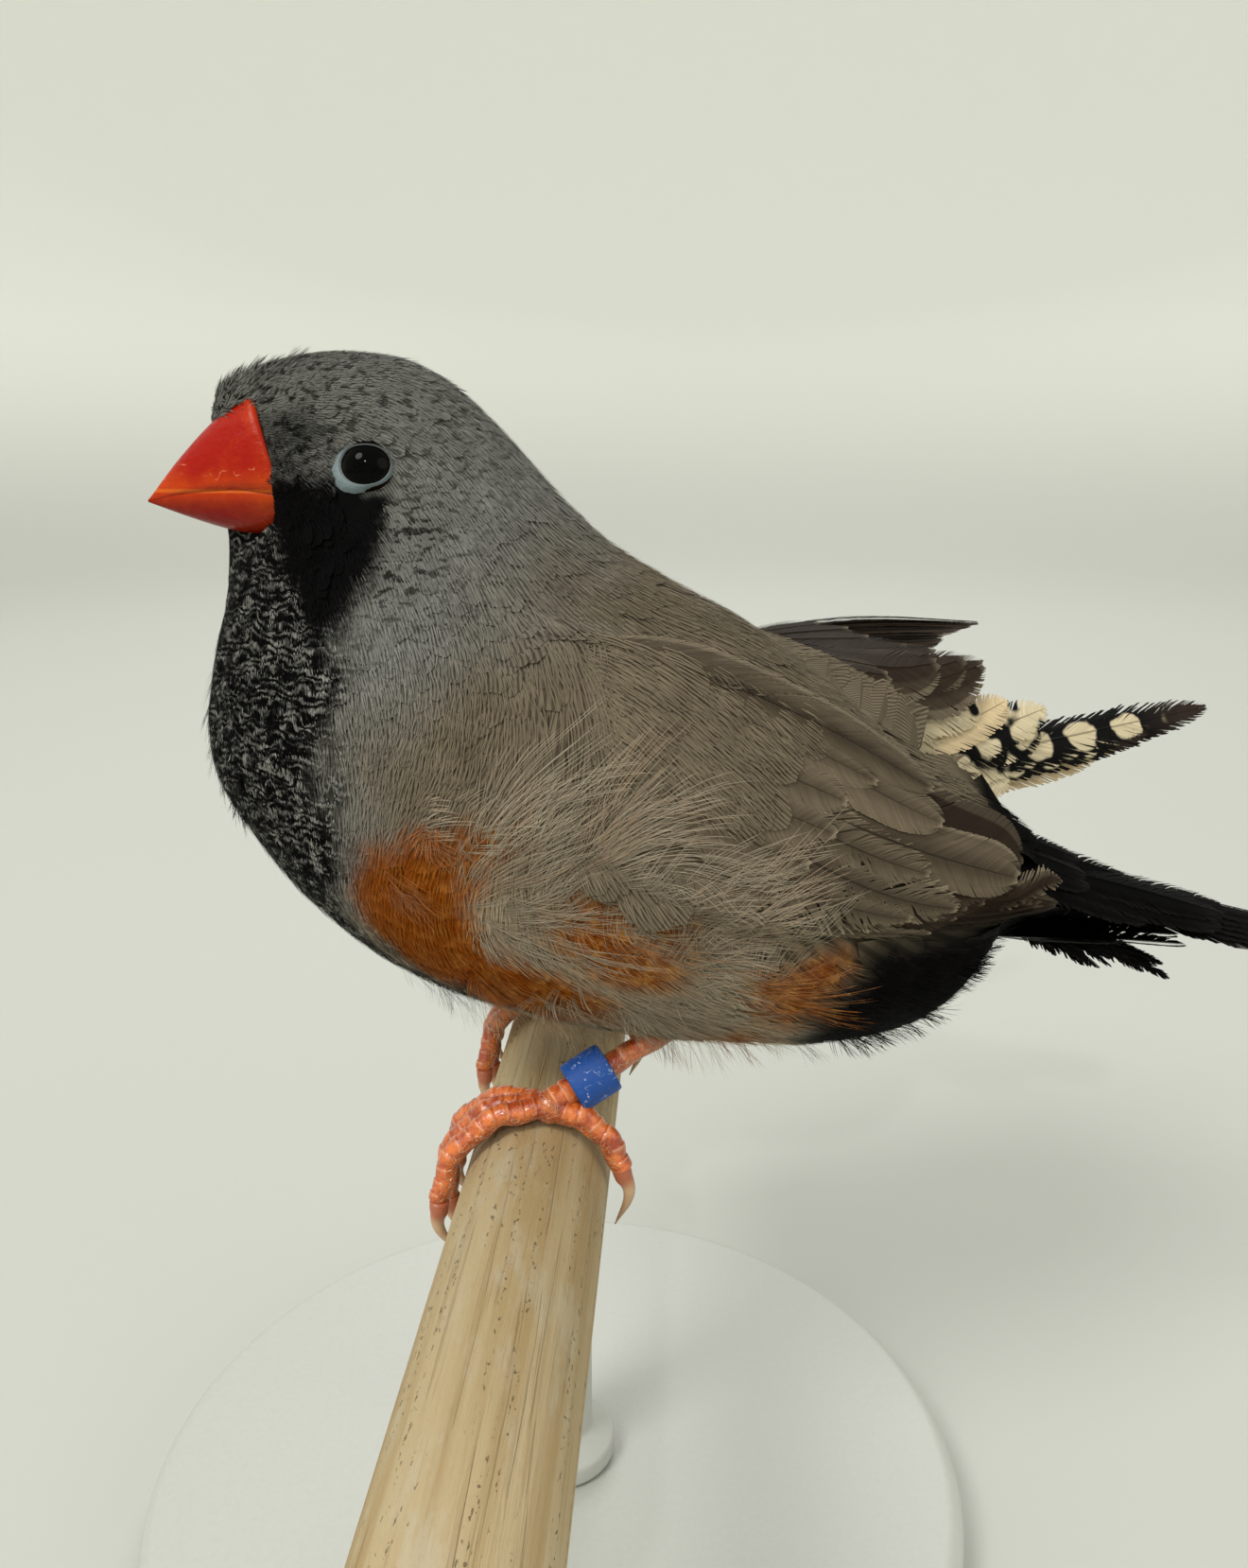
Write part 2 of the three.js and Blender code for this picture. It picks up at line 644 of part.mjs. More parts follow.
// Perch and stand
const perchAlong = new THREE.Vector3(sin(PERCH_TURN), cos(PERCH_TURN), 0);
const perchFront = new THREE.Vector3(-cos(PERCH_TURN), sin(PERCH_TURN), 0);
const perchLength = PERCH_NEAR + PERCH_FAR;
const CHAMFER = 0.6;
const dowelSection = [
  [0, -perchLength / 2],
  [PERCH_R - CHAMFER, -perchLength / 2],
  [PERCH_R, -perchLength / 2 + CHAMFER],
  [PERCH_R, perchLength / 2 - CHAMFER],
  [PERCH_R - CHAMFER, perchLength / 2],
  [0, perchLength / 2],
].map(([r, y]) => new THREE.Vector2(r, y));
const perchGeometry = new THREE.LatheGeometry(dowelSection, 40);
perchGeometry.translate(0, (PERCH_FAR - PERCH_NEAR) / 2, 0).rotateZ(-PERCH_TURN);
piece("perch", solid(perchGeometry.translate(0, 0, PERCH_HEIGHT)), FINISH.wood);

const upright = (profile, segments) => {
  const section = profile.map(([r, z]) => new THREE.Vector2(r, z));
  return solid(new THREE.LatheGeometry(section, segments).rotateX(PI / 2));
};
const BASE_SECTION = [
  [0, 0],
  [BASE_R - 0.8, 0],
  [BASE_R, 0.8],
  [BASE_R, BASE_THICK - 1.2],
  [BASE_R - 1.2, BASE_THICK],
  [0, BASE_THICK],
];
piece("stand_base", upright(BASE_SECTION, 48), FINISH.stand);

// The rod has a collar on the base and another under the dowel, which rests in its hollowed end.
const ROD_SECTION = [
  [0, BASE_THICK + GAP],
  [ROD_R + 2.2, BASE_THICK + GAP],
  [ROD_R + 2.2, BASE_THICK + 2.2],
  [ROD_R, BASE_THICK + 3.6],
  [ROD_R, PERCH_HEIGHT - 9],
  [ROD_R + 1.2, PERCH_HEIGHT - 6],
  [ROD_R + 1.2, PERCH_HEIGHT],
  [0, PERCH_HEIGHT],
];
const perchClear = solid(
  new THREE.CylinderGeometry(PERCH_R + GAP, PERCH_R + GAP, perchLength, 40)
    .rotateZ(-PERCH_TURN)
    .translate(0, 0, PERCH_HEIGHT),
);
piece("stand_rod", upright(ROD_SECTION, 24).subtract(perchClear), FINISH.stand);

// Legs: each has a tarsus that leans back into the belly, and a foot with three toes over the front of the
// dowel and one behind it.
const FEET = {
  left: { s: -12.4, heel: [14.5, -9.2, 15.5], drift: [4.6, 0.4, -3.6], back: -0.8 },
  right: { s: 12.0, heel: [16.5, 9.4, 15.8], drift: [-4.6, -0.4, 3.6], back: 0.6 },
};
const TOES = [
  { name: "inner", reach: degToRad(92), thick: 0.92 },
  { name: "middle", reach: degToRad(104), thick: 1 },
  { name: "outer", reach: degToRad(88), thick: 0.92 },
];
const HIND_REACH = degToRad(-74);
const FOOT_AT = degToRad(-9); // where the foot's ball sits round the dowel, behind the top
const BALL_R = 1.75;
const BALL_OUT = PERCH_R + GAP + BALL_R - 0.1; // middle of the ball, from the dowel's axis
const TOE_OUT = PERCH_R + GAP + TOE_R; // middle of a toe, from the dowel's axis
const CLAW_R = TOE_R * 0.66;
const CLAW_START = (GAP + 0.1) / TOE_OUT; // turn that parts a claw from its toe

// A point round the dowel: s along it from the bird's middle, turn from its top to its front, out from its
// axis.
function roundPerch(s, turn, out) {
  const p = at(0, 0, 0).addScaledVector(perchAlong, s);
  return p.addScaledVector(perchFront, out * sin(turn)).addScaledVector(UP, out * cos(turn));
}

// A toe's radius steps down at each scute and swells at its joints.
function toe(s, reach, drift, thick, scutes) {
  const path = [];
  const radii = [];
  for (let i = 0; i < scutes; i++)
    for (const [u, scale] of [
      [0.04, 1.0],
      [0.94, 0.84],
    ]) {
      const t = (i + u) / scutes;
      const swell = 1 + 0.06 * cos(t * PI * 6);
      const out = TOE_OUT + 0.12 + 0.25 * sin(PI * t);
      path.push(roundPerch(s + drift * t ** 0.8, lerp(FOOT_AT, reach, t), out));
      radii.push(TOE_R * thick * scale * swell * lerp(1, 0.86, t));
    }
  return tube(path, radii, 6);
}

// A claw goes on from its toe's end, arched away from the wood, to a thin tip.
function claw(s, reach, length) {
  const path = [];
  const radii = [];
  const steps = 6;
  const way = sign(reach);
  for (let i = 0; i <= steps; i++) {
    const t = i / steps;
    const turn = reach + way * (CLAW_START + (length * t) / TOE_OUT);
    const arch = 0.9 * sin(PI * min(1, t * 1.15)) * (1 - t) - 0.25 * t;
    path.push(roundPerch(s, turn, TOE_OUT + 0.15 + arch));
    radii.push(max(0.1, CLAW_R * (1 - t ** 1.7)));
  }
  return tube(path, radii, 7);
}

// The tarsus, ringed by scutes like the toes.
function tarsus(joint, heel) {
  const scutes = 6;
  const path = [];
  const radii = [];
  for (let i = 0; i < scutes; i++)
    for (const [u, scale] of [
      [0, 1.04],
      [0.9, 0.94],
    ]) {
      path.push(joint.clone().lerp(heel, (i + u) / scutes));
      radii.push(TARSUS_R * scale);
    }
  return tube(path, radii, 8);
}

const sphereAt = (p, r) => solid(new THREE.SphereGeometry(r, 12, 10).translate(p.x, p.y, p.z));

for (const [side, foot] of Object.entries(FEET)) {
  const joint = roundPerch(foot.s, FOOT_AT, BALL_OUT);
  const parts = [sphereAt(joint, BALL_R), toe(foot.s, HIND_REACH, foot.back, 1.05, 5)];
  piece(`claw_${side}_hind`, claw(foot.s + foot.back, HIND_REACH, 4.6), FINISH.claw);
  TOES.forEach(({ name, reach, thick }, i) => {
    parts.push(toe(foot.s, reach, foot.drift[i], thick, 6));
    piece(`claw_${side}_${name}`, claw(foot.s + foot.drift[i] * 1.02, reach, 4.2), FINISH.claw);
  });
  piece("foot_" + side, join(parts), FINISH.leg);
  const shin = tarsus(joint, at(...foot.heel)).subtract(sphereAt(joint, BALL_R + GAP)).subtract(bodyClear);
  piece("leg_" + side, shin, FINISH.leg);
}

// Leg ring: a plain band round the left tarsus
const RING_INNER = 1.45;
const RING_OUTER = 2.15;
const RING_HEIGHT = 3.6;
const RING_AT = 4.35; // from the foot's joint along the tarsus
const leftJoint = roundPerch(FEET.left.s, FOOT_AT, BALL_OUT);
const shinAlong = at(...FEET.left.heel).sub(leftJoint).normalize();
const bandSection = [
  [RING_INNER, -RING_HEIGHT / 2],
  [RING_OUTER, -RING_HEIGHT / 2],
  [RING_OUTER, RING_HEIGHT / 2],
  [RING_INNER, RING_HEIGHT / 2],
  [RING_INNER, -RING_HEIGHT / 2],
].map(([r, y]) => new THREE.Vector2(r, y));
const band = new THREE.LatheGeometry(bandSection, 28);
band.applyQuaternion(new THREE.Quaternion().setFromUnitVectors(new THREE.Vector3(0, 1, 0), shinAlong));
const bandMiddle = leftJoint.clone().addScaledVector(shinAlong, RING_AT);
piece("leg_ring", solid(band.translate(bandMiddle.x, bandMiddle.y, bandMiddle.z)), FINISH.band);

export default bird;
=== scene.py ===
# %% [markdown]
# A male zebra finch of a dark grey kind, perched on a pine dowel. The bird's solids come from the packed
# frame, and this script dresses them: it lays a skin under the outline of the body, and grows every feather
# over it as real mesh, so that the plumage also reads from behind and in the exported model.

# %% Load the frame
import math

import bpy
import numpy as np
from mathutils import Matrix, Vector
from mathutils.kdtree import KDTree


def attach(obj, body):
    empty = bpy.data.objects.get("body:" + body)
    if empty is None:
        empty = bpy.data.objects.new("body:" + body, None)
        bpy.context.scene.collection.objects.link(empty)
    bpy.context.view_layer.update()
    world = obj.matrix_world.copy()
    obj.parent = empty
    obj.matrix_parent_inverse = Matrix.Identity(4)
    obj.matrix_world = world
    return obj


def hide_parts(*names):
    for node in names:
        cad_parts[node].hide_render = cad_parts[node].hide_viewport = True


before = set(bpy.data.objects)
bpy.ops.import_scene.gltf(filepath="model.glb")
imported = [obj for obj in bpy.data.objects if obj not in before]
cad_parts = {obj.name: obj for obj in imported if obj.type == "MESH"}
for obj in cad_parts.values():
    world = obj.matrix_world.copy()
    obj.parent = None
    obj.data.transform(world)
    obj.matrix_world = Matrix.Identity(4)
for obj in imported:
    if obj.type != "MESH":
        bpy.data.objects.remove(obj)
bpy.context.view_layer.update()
MM = 0.001  # sizes below are millimetres, as on a workshop drawing, and become metres in make_piece

# %% [markdown]
# The camera comes first. The bird was seen from its left side, a hand's breadth away and from a little
# above. A short lens so close makes the dowel swell towards the viewer, so the real distance matters more
# than the framing: the camera stands where the perspective of the dowel puts it, and looks down by 15
# degrees.

# %% Camera
PHOTO_TALL = 1658  # pixels, the long side of the picture
FOCAL_PIXELS = 1320
CAMERA_AT = (-6.88, -105.0, 103.7)
CAMERA_DOWN = 14.93
CAMERA_TURN = 7.4

camera_data = bpy.data.cameras.new("camera")
camera_data.lens = camera_data.sensor_width * FOCAL_PIXELS / PHOTO_TALL
camera_data.clip_start = 0.005
camera = bpy.data.objects.new("camera", camera_data)
camera.location = [v * MM for v in CAMERA_AT]
camera.rotation_euler = (math.radians(90 - CAMERA_DOWN), 0, -math.radians(CAMERA_TURN))
bpy.context.scene.collection.objects.link(camera)
bpy.context.scene.camera = camera
print("camera: lens", round(camera_data.lens, 2), "mm")

# %% [markdown]
# Thousands of feathers can be made by modifiers or by arrays of numbers. Arrays are chosen here, because
# one call then places a hundred thousand points on the body's own surface. A piece takes its points in
# millimetres, its faces, and whatever each point should tell the material.

# %% From arrays to a piece
def make_piece(name, points, faces, material, replaces=(), slot=None, smooth=True, uv=None, **told):
    """A mesh object from arrays: faces is a list of arrays with three or four corners in each row."""
    mesh = bpy.data.meshes.new(name)
    points = np.asarray(points, float)
    mesh.vertices.add(len(points))
    mesh.vertices.foreach_set("co", (points * MM).astype(np.float32).ravel())
    faces = [np.asarray(f, np.int32) for f in faces if len(f)]
    corners = np.concatenate([f.ravel() for f in faces])
    sizes = np.concatenate([np.full(len(f), f.shape[1]) for f in faces])
    mesh.loops.add(len(corners))
    mesh.loops.foreach_set("vertex_index", corners)
    mesh.polygons.add(len(sizes))
    mesh.polygons.foreach_set("loop_start", np.cumsum(sizes) - sizes)
    mesh.update(calc_edges=True)
    mesh.polygons.foreach_set("use_smooth", np.full(len(sizes), smooth))
    for key, values in told.items():
        mesh.attributes.new(key, "FLOAT", "POINT").data.foreach_set("value", np.asarray(values, np.float32))
    if uv is not None:
        layer = mesh.uv_layers.new(name="OFBake")
        layer.uv.foreach_set("vector", np.asarray(uv, np.float32)[corners].ravel())
    mesh.materials.append(material)
    piece = bpy.data.objects.new(name, mesh)
    bpy.context.scene.collection.objects.link(piece)
    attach(piece, "root")
    if replaces:
        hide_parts(*replaces)
    print(f"{name}: {int((sizes - 2).sum())} triangles")
    return piece


def grid_faces(rows, columns, wrap=False):
    """Quads between rows of points; wrap closes each row into a ring."""
    across = columns if wrap else columns - 1
    r, c = np.meshgrid(np.arange(rows - 1), np.arange(across), indexing="ij")
    a = r * columns + c
    b = r * columns + (c + 1) % columns
    return np.stack([a, b, b + columns, a + columns], -1).reshape(-1, 4)


def turned_over(faces):
    """The same faces seen from their other side."""
    return [f[:, ::-1] for f in faces]


def full_turn(count):
    """Angles that share a whole turn evenly, the first at 0."""
    return np.linspace(0, 2 * math.pi, count + 1)[:-1]


def swing(turn, first, second):
    """Directions at angles that turn from the first direction towards the second."""
    return first * np.cos(turn)[..., None] + second * np.sin(turn)[..., None]


def between(first, second, share):
    """A value or place on the way from the first, at share 0, to the second, at share 1."""
    return np.asarray(first, float) * (1 - share) + np.asarray(second, float) * share


def unit(vectors):
    return vectors / np.maximum(np.linalg.norm(vectors, axis=-1, keepdims=True), 1e-9)


def smoothstep(value, low, high):
    share = np.clip((value - low) / (high - low), 0, 1)
    return share * share * (3 - 2 * share)


def through(values, t):
    """Smooth values through the rows of a table, at t from 0 to 1."""
    values = np.asarray(values, float)
    spot = np.clip(t, 0, 1) * (len(values) - 1)
    i = np.minimum(spot.astype(int), len(values) - 2)
    u = spot - i
    if values.ndim > 1:
        u = u[..., None]
    ends = [2 * values[:1] - values[1:2], 2 * values[-1:] - values[-2:-1]]
    row = np.concatenate([ends[0], values, ends[1]])
    a, b, c, d = (row[i + k] for k in range(4))
    return 0.5 * (2 * b + (c - a) * u + (2 * a - 5 * b + 4 * c - d) * u**2 + (3 * b - a - 3 * c + d) * u**3)


CLOUD_CELLS = 32  # a cloud repeats after this many patches


def cloud(points, size, seed):
    """Smooth random values from -1 to 1 over space, with patches about that many millimetres wide."""
    lattice = np.random.default_rng(seed).uniform(-1, 1, (CLOUD_CELLS, CLOUD_CELLS, CLOUD_CELLS))
    place = np.asarray(points) / size + 100
    low = np.floor(place).astype(int)
    u = smoothstep(place, low, low + 1)
    total = 0
    for corner in np.ndindex(2, 2, 2):
        share = np.prod(np.where(corner, u, 1 - u), -1)
        total = total + share * lattice[tuple((low[..., k] + corner[k]) % CLOUD_CELLS for k in range(3))]
    return total

# %% [markdown]
# A shader could be wired by hand, node by node. It is easier to read as a sum, so this class wraps a
# socket: an expression on it adds the nodes it needs, and one method makes any other node.

# %% Shader sums
class Wire:
    """A node's output socket. Numbers and other wires may be added to it, subtracted and multiplied."""

    def __init__(self, socket):
        self.socket = socket

    def node(self, kind, inputs=None, output=0, **settings):
        tree = self.socket.id_data
        made = tree.nodes.new(kind)
        for key, value in settings.items():
            setattr(made, key, value)
        for key, value in (inputs or {}).items():
            if isinstance(value, Wire):
                tree.links.new(value.socket, made.inputs[key])
            else:
                made.inputs[key].default_value = value
        return Wire(made.outputs[output])

    def maths(self, operation, first, second=0.0):
        return self.node("ShaderNodeMath", {0: first, 1: second}, operation=operation)

    def __add__(self, other):
        return self.maths("ADD", self, other)

    __radd__ = __add__

    def __sub__(self, other):
        return self.maths("SUBTRACT", self, other)

    def __rsub__(self, other):
        return self.maths("SUBTRACT", other, self)

    def __mul__(self, other):
        return self.maths("MULTIPLY", self, other)

    __rmul__ = __mul__

    def step(self, low, high):
        """From 0 at low to 1 at high, smoothly, and level outside."""
        sockets = {"Value": self, "From Min": low, "From Max": high}
        return self.node("ShaderNodeMapRange", sockets, interpolation_type="SMOOTHSTEP")

    def mix(self, first, second):
        """The first colour where this is 0 and the second where it is 1."""
        return self.node("ShaderNodeMix", {0: self, 6: first, 7: second}, output=2, data_type="RGBA")

    def times(self, amount):
        """A colour or vector made that many times as strong."""
        return self.node("ShaderNodeVectorMath", {0: self, "Scale": amount}, operation="SCALE")

    def stretched(self, x, y, z):
        return self.node("ShaderNodeVectorMath", {0: self, 1: (x, y, z)}, operation="MULTIPLY")

    def part(self, letter):
        return self.node("ShaderNodeSeparateXYZ", {0: self}, output="XYZ".index(letter))

    def noise(self, scale, detail=2.0, roughness=0.5):
        """Random values about 0.5, with this many patches to a millimetre where self is in millimetres."""
        sockets = {"Vector": self, "Scale": scale, "Detail": detail, "Roughness": roughness}
        return self.node("ShaderNodeTexNoise", sockets)

    def told(self, name):
        """What each point of the piece tells the material under this name."""
        return self.node("ShaderNodeAttribute", output="Fac", attribute_name=name)

    def tells(self, *names):
        return [self.told(name) for name in names]

    def bump(self, height, distance):
        """A normal that leans as the height does, where a height of 1 stands that many millimetres out."""
        return self.node("ShaderNodeBump", {"Height": height, "Distance": distance * MM, "Strength": 1.0})


def colour(code):
    """A colour from its usual hexadecimal code, as the light values that shaders add up."""
    parts = [((code >> shift) & 255) / 255 for shift in (16, 8, 0)]
    return (*[c / 12.92 if c < 0.04045 else ((c + 0.055) / 1.055) ** 2.4 for c in parts], 1.0)


def new_finish(name, paint, **constants):
    """A material whose shader gets the constants on its sockets and the wires that paint returns."""
    material = bpy.data.materials.new(name)
    material.use_nodes = True
    tree = material.node_tree
    shader = tree.nodes["Principled BSDF"]
    for key, value in constants.items():
        shader.inputs[key.replace("_", " ")].default_value = value
    place = Wire(tree.nodes.new("ShaderNodeTexCoord").outputs["Object"])
    for key, wire in paint(place.times(1 / MM)).items():
        tree.links.new(wire.socket, shader.inputs[key])
    return material

# %% [markdown]
# The body is one smooth trunk from the face to the tail root. It could be sculpted, but a rule is easier to
# keep in step with the solids: each section lies in a tilted plane from a point on the back to a point on
# the belly, with three half widths. Any place on it is a pair, how far along and how far round, and that
# pair is also the unwrapped map on which markings are laid and feathers are rooted.

# %% The body's surface
PERCH_HEIGHT = 44  # heights below are over the dowel's axis
SECTIONS = [  # back x and height, belly x and height, half widths high, middle and low
    (-25.8, 62.6, -25.2, 53.9, 0.9, 0.9, 0.9),
    (-25.0, 64.4, -25.2, 53.2, 1.5, 1.1, 1.1),
    (-23.6, 65.5, -25.2, 52.2, 2.1, 1.8, 1.6),
    (-21.2, 66.4, -25.3, 51.0, 3.1, 2.6, 2.1),
    (-18.0, 67.1, -25.5, 49.2, 5.0, 3.8, 3.0),
    (-14.2, 67.3, -25.9, 47.2, 6.8, 5.5, 4.7),
    (-10.0, 66.6, -26.6, 44.8, 7.9, 7.0, 6.7),
    (-6.2, 64.4, -27.3, 41.8, 8.8, 8.5, 8.5),
    (-2.8, 61.2, -27.9, 37.8, 9.9, 10.5, 10.6),
    (0.8, 57.2, -27.3, 33.2, 11.7, 13.1, 13.0),
    (5.6, 52.6, -24.6, 28.2, 14.2, 16.3, 15.6),
    (11.0, 49.3, -20.2, 22.4, 16.5, 18.9, 18.0),
    (17.0, 46.0, -13.4, 16.8, 17.6, 20.2, 19.6),
    (23.0, 41.8, -4.0, 12.6, 17.0, 20.2, 20.2),
    (29.0, 37.2, 8.5, 9.6, 15.2, 18.6, 19.2),
    (34.5, 33.2, 22.0, 8.2, 12.2, 15.2, 16.6),
    (39.4, 30.2, 33.0, 9.2, 8.8, 10.6, 11.2),
    (43.4, 27.2, 38.9, 15.4, 6.0, 6.8, 6.2),
    (46.0, 24.8, 42.4, 19.2, 4.0, 4.2, 3.8),
]
ROUNDNESS = 0.9
PERCH_AXIS = np.array([0.0, 0.0, PERCH_HEIGHT])
HIGH_SHARE, SHARE_SPAN = 0.2, 0.6  # from back to belly, the high half width's place and how far on the low is


def body_point(t, turn, grow=0.0):
    """The body at t, from 0 at the face to 1 at the tail root, and turn, from 0 on the back to pi on the
    belly, negative on the left. It may be grown outwards."""
    t, turn, grow = np.broadcast_arrays(np.asarray(t, float), turn, grow)
    row = through(SECTIONS, t)
    back, belly = row[..., 0:2], row[..., 2:4]
    share = (1 - np.cos(turn)) / 2
    spot = (share - HIGH_SHARE) / SHARE_SPAN
    high, middle, low = row[..., 4], row[..., 5], row[..., 6]
    half = high * (1 - spot) * (1 - 2 * spot) + middle * 4 * spot * (1 - spot)
    half = half + low * spot * (2 * spot - 1)
    y = np.sign(np.sin(turn)) * np.abs(np.sin(turn)) ** ROUNDNESS * (half + grow)
    flat = back + (belly - back) * share[..., None] - unit(belly - back) * (np.cos(turn) * grow)[..., None]
    return np.stack([flat[..., 0], y, flat[..., 1] + PERCH_HEIGHT], -1)


def lie_of(t, turn):
    """How far the feathers' lie turns from the line to the tail towards the belly, in radians."""
    low = np.abs(np.degrees(turn))
    side = smoothstep(low, 35, 95) * (1 - smoothstep(low, 118, 150))
    breast = np.exp(-(((t - 0.59) / 0.07) ** 2)) * side
    mantle = np.exp(-(((t - 0.7) / 0.12) ** 2)) * smoothstep(low, 15, 60) * (1 - smoothstep(low, 90, 120))
    plain = 12 * smoothstep(t, 0.4, 0.5) * smoothstep(low, 20, 60) * (1 - smoothstep(low, 145, 178))
    return np.radians(plain + 52 * breast + 20 * mantle)


BILL_BASE = [(53.0, -20.4), (55.0, -20.6), (58.0, -21.1), (60.9, -21.9), (63.6, -22.6)]  # height, x
BILL_HALF_WIDTH = 4.3
MOUTH_HEIGHT = 56.7
BILL_BACK = (-25, -20.6)  # x of two places on the bill, and how high its ridge and its keel lie there
RIDGE_BACK = (62.1, 64.3)
KEEL_BACK = (52.7, 51.7)


def before_bill_base(points):
    """How far a point of the face lies in front of the bill's base line, where the bill covers it."""
    x, y, height = points[..., 0], np.abs(points[..., 1]), points[..., 2] - PERCH_HEIGHT
    ahead = np.interp(height, *np.array(BILL_BASE).T) - x
    ridge, keel = (np.interp(x, BILL_BACK, heights) for heights in (RIDGE_BACK, KEEL_BACK))
    edge = np.where(height > MOUTH_HEIGHT, ridge, keel)
    spot = np.abs((height - MOUTH_HEIGHT) / (edge - MOUTH_HEIGHT))
    bill_half = BILL_HALF_WIDTH * np.sqrt(np.clip(1 - spot**3, 0, 1))
    return ahead * (1 - smoothstep(y - bill_half, 0.5, 1.3)) * (bill_half > 0)


def skin_depth(t):
    """How deep the skin lies under the outline of the coat."""
    return np.interp(t, [0, 0.15, 0.3, 0.45, 0.6, 0.9, 1], [0.25, 0.3, 0.4, 0.5, 0.6, 0.6, 0.5])

# %% [markdown]
# A bird's markings are the colours of its feather tips, side by side. A painted picture could carry them,
# but here they are drawn on the unwrapped body, in how far along and how many degrees round, and both sides
# carry them. Each is a share from 0 to 1, roughened by a cloud of random values, so that its edge is
# ragged. Skin and coat ask the same function, so that a gap in the coat never shows another colour.

# %% Markings
CHEEK = [
    (0.255, 92), (0.305, 83), (0.35, 75), (0.383, 71), (0.405, 66), (0.416, 68), (0.436, 74), (0.45, 80),
    (0.457, 86), (0.464, 95), (0.463, 103), (0.41, 106), (0.359, 107), (0.325, 106), (0.255, 104),
]
BIB_EDGE = [  # along, and the degrees round past which the breast is black
    (0.0, 100), (0.24, 98), (0.36, 94), (0.43, 92), (0.475, 94), (0.51, 103),
    (0.53, 112), (0.56, 120), (0.589, 127), (0.605, 138), (0.645, 143), (0.69, 146), (0.72, 172),
]
ORANGE = [  # the rust patches that the grey plumes leave uncovered
    [(0.589, 121), (0.595, 112), (0.603, 107), (0.61, 103), (0.617, 96), (0.625, 89), (0.633, 97),
     (0.637, 106), (0.645, 109), (0.651, 116), (0.677, 120), (0.703, 119), (0.729, 122), (0.749, 141),
     (0.727, 146), (0.709, 150), (0.675, 147), (0.647, 144), (0.619, 140), (0.6, 132)],
    [(0.679, 112), (0.683, 98), (0.695, 92), (0.723, 93), (0.733, 102), (0.745, 112), (0.723, 116)],
    [(0.774, 102), (0.78, 94), (0.796, 90), (0.812, 100), (0.816, 112), (0.816, 122), (0.802, 126),
     (0.78, 111)],
    [(0.776, 138), (0.788, 128), (0.802, 134), (0.802, 146), (0.784, 148)],
]
BELLY_EDGE = [(0.6, 140), (0.645, 152), (0.7, 154), (0.74, 152), (0.8, 146), (0.83, 140)]
VENT_START = [(80, 0.81), (110, 0.805), (128, 0.81), (150, 0.825), (180, 0.84)]
DEGREE_LENGTH = 0.005  # a degree round counts as this much along, where an outline's distance is measured


def inside(outline, t, low, soft=0.012):
    """The share by which a place is inside an outline on the unwrapped body."""
    corners = np.array(outline) * (1.0, DEGREE_LENGTH)
    place = np.stack([t, low * DEGREE_LENGTH], -1)
    crossings = np.zeros(np.shape(t), int)
    nearest = np.full(np.shape(t), 1e9)
    for a, b in zip(corners, np.roll(corners, -1, 0)):
        edge = b - a
        share = np.clip(((place - a) @ edge) / (edge @ edge), 0, 1)
        nearest = np.minimum(nearest, np.linalg.norm(place - a - share[..., None] * edge, axis=-1))
        spans = (a[1] > place[..., 1]) != (b[1] > place[..., 1])
        reach = a[0] + (place[..., 1] - a[1]) * edge[0] / (edge[1] if edge[1] else 1e-9)
        crossings += spans & (place[..., 0] < reach)
    signed = np.where(crossings % 2 == 1, nearest, -nearest)
    return smoothstep(signed, -soft, soft)


def markings(t, turn, points):
    """The shares of black, bars, chestnut, cream and brown, and how strongly dark specks show."""
    low = np.abs(np.degrees(turn))
    rough = cloud(points, 1.6, 1) * 0.6 + cloud(points, 0.5, 2) * 0.4
    wide = cloud(points, 6, 3)
    bib = smoothstep(low - np.interp(t, *np.array(BIB_EDGE).T) + 10 * rough, -6, 8)
    cheek = inside(CHEEK, t + 0.008 * rough, low + 3 * rough)
    lores = np.exp(-(((t - 0.25) / 0.065) ** 2)) * smoothstep(low, 50, 72) * (1 - smoothstep(low, 100, 112))
    lores = lores * np.clip(0.72 + 0.8 * cloud(points, 0.45, 4), 0.15, 1)
    vent = smoothstep(t - np.interp(low, *np.array(VENT_START).T) + 0.008 * rough, -0.012, 0.012)
    vent = vent * smoothstep(low, 70, 92)
    rump = smoothstep(t + 0.008 * rough, 0.86, 0.9) * (1 - smoothstep(low, 80, 100))
    black = np.maximum.reduce([cheek, vent, rump, lores])
    place = (t + 0.008 * rough + 0.004 * wide, low + 3 * rough + 2 * wide)
    chestnut = np.maximum.reduce([inside(outline, *place, 0.014) for outline in ORANGE]) * (1 - vent)
    cream = smoothstep(low - np.interp(t, *np.array(BELLY_EDGE).T) + 5 * rough, -4, 4)
    cream = cream * smoothstep(t + 0.01 * rough, 0.69, 0.71)
    cream = np.maximum(cream, 0.35 * smoothstep(t, 0.6, 0.64) * smoothstep(low, 92, 118)) * (1 - vent)
    brown = smoothstep(t + 0.02 * wide, 0.49, 0.59) * (1 - smoothstep(low, 100, 130))
    specks = np.interp(t, [0, 0.2, 0.38, 0.5, 0.6], [1.0, 0.95, 0.7, 0.35, 0.05])
    behind = np.exp(-(((t - 0.46) / 0.035) ** 2) - ((low - 72) / 16) ** 2)  # dots behind the cheek
    return {"black": black, "bars": bib, "chestnut": chestnut, "cream": cream, "brown": brown,
            "specks": np.minimum(1, specks + 0.7 * behind)}


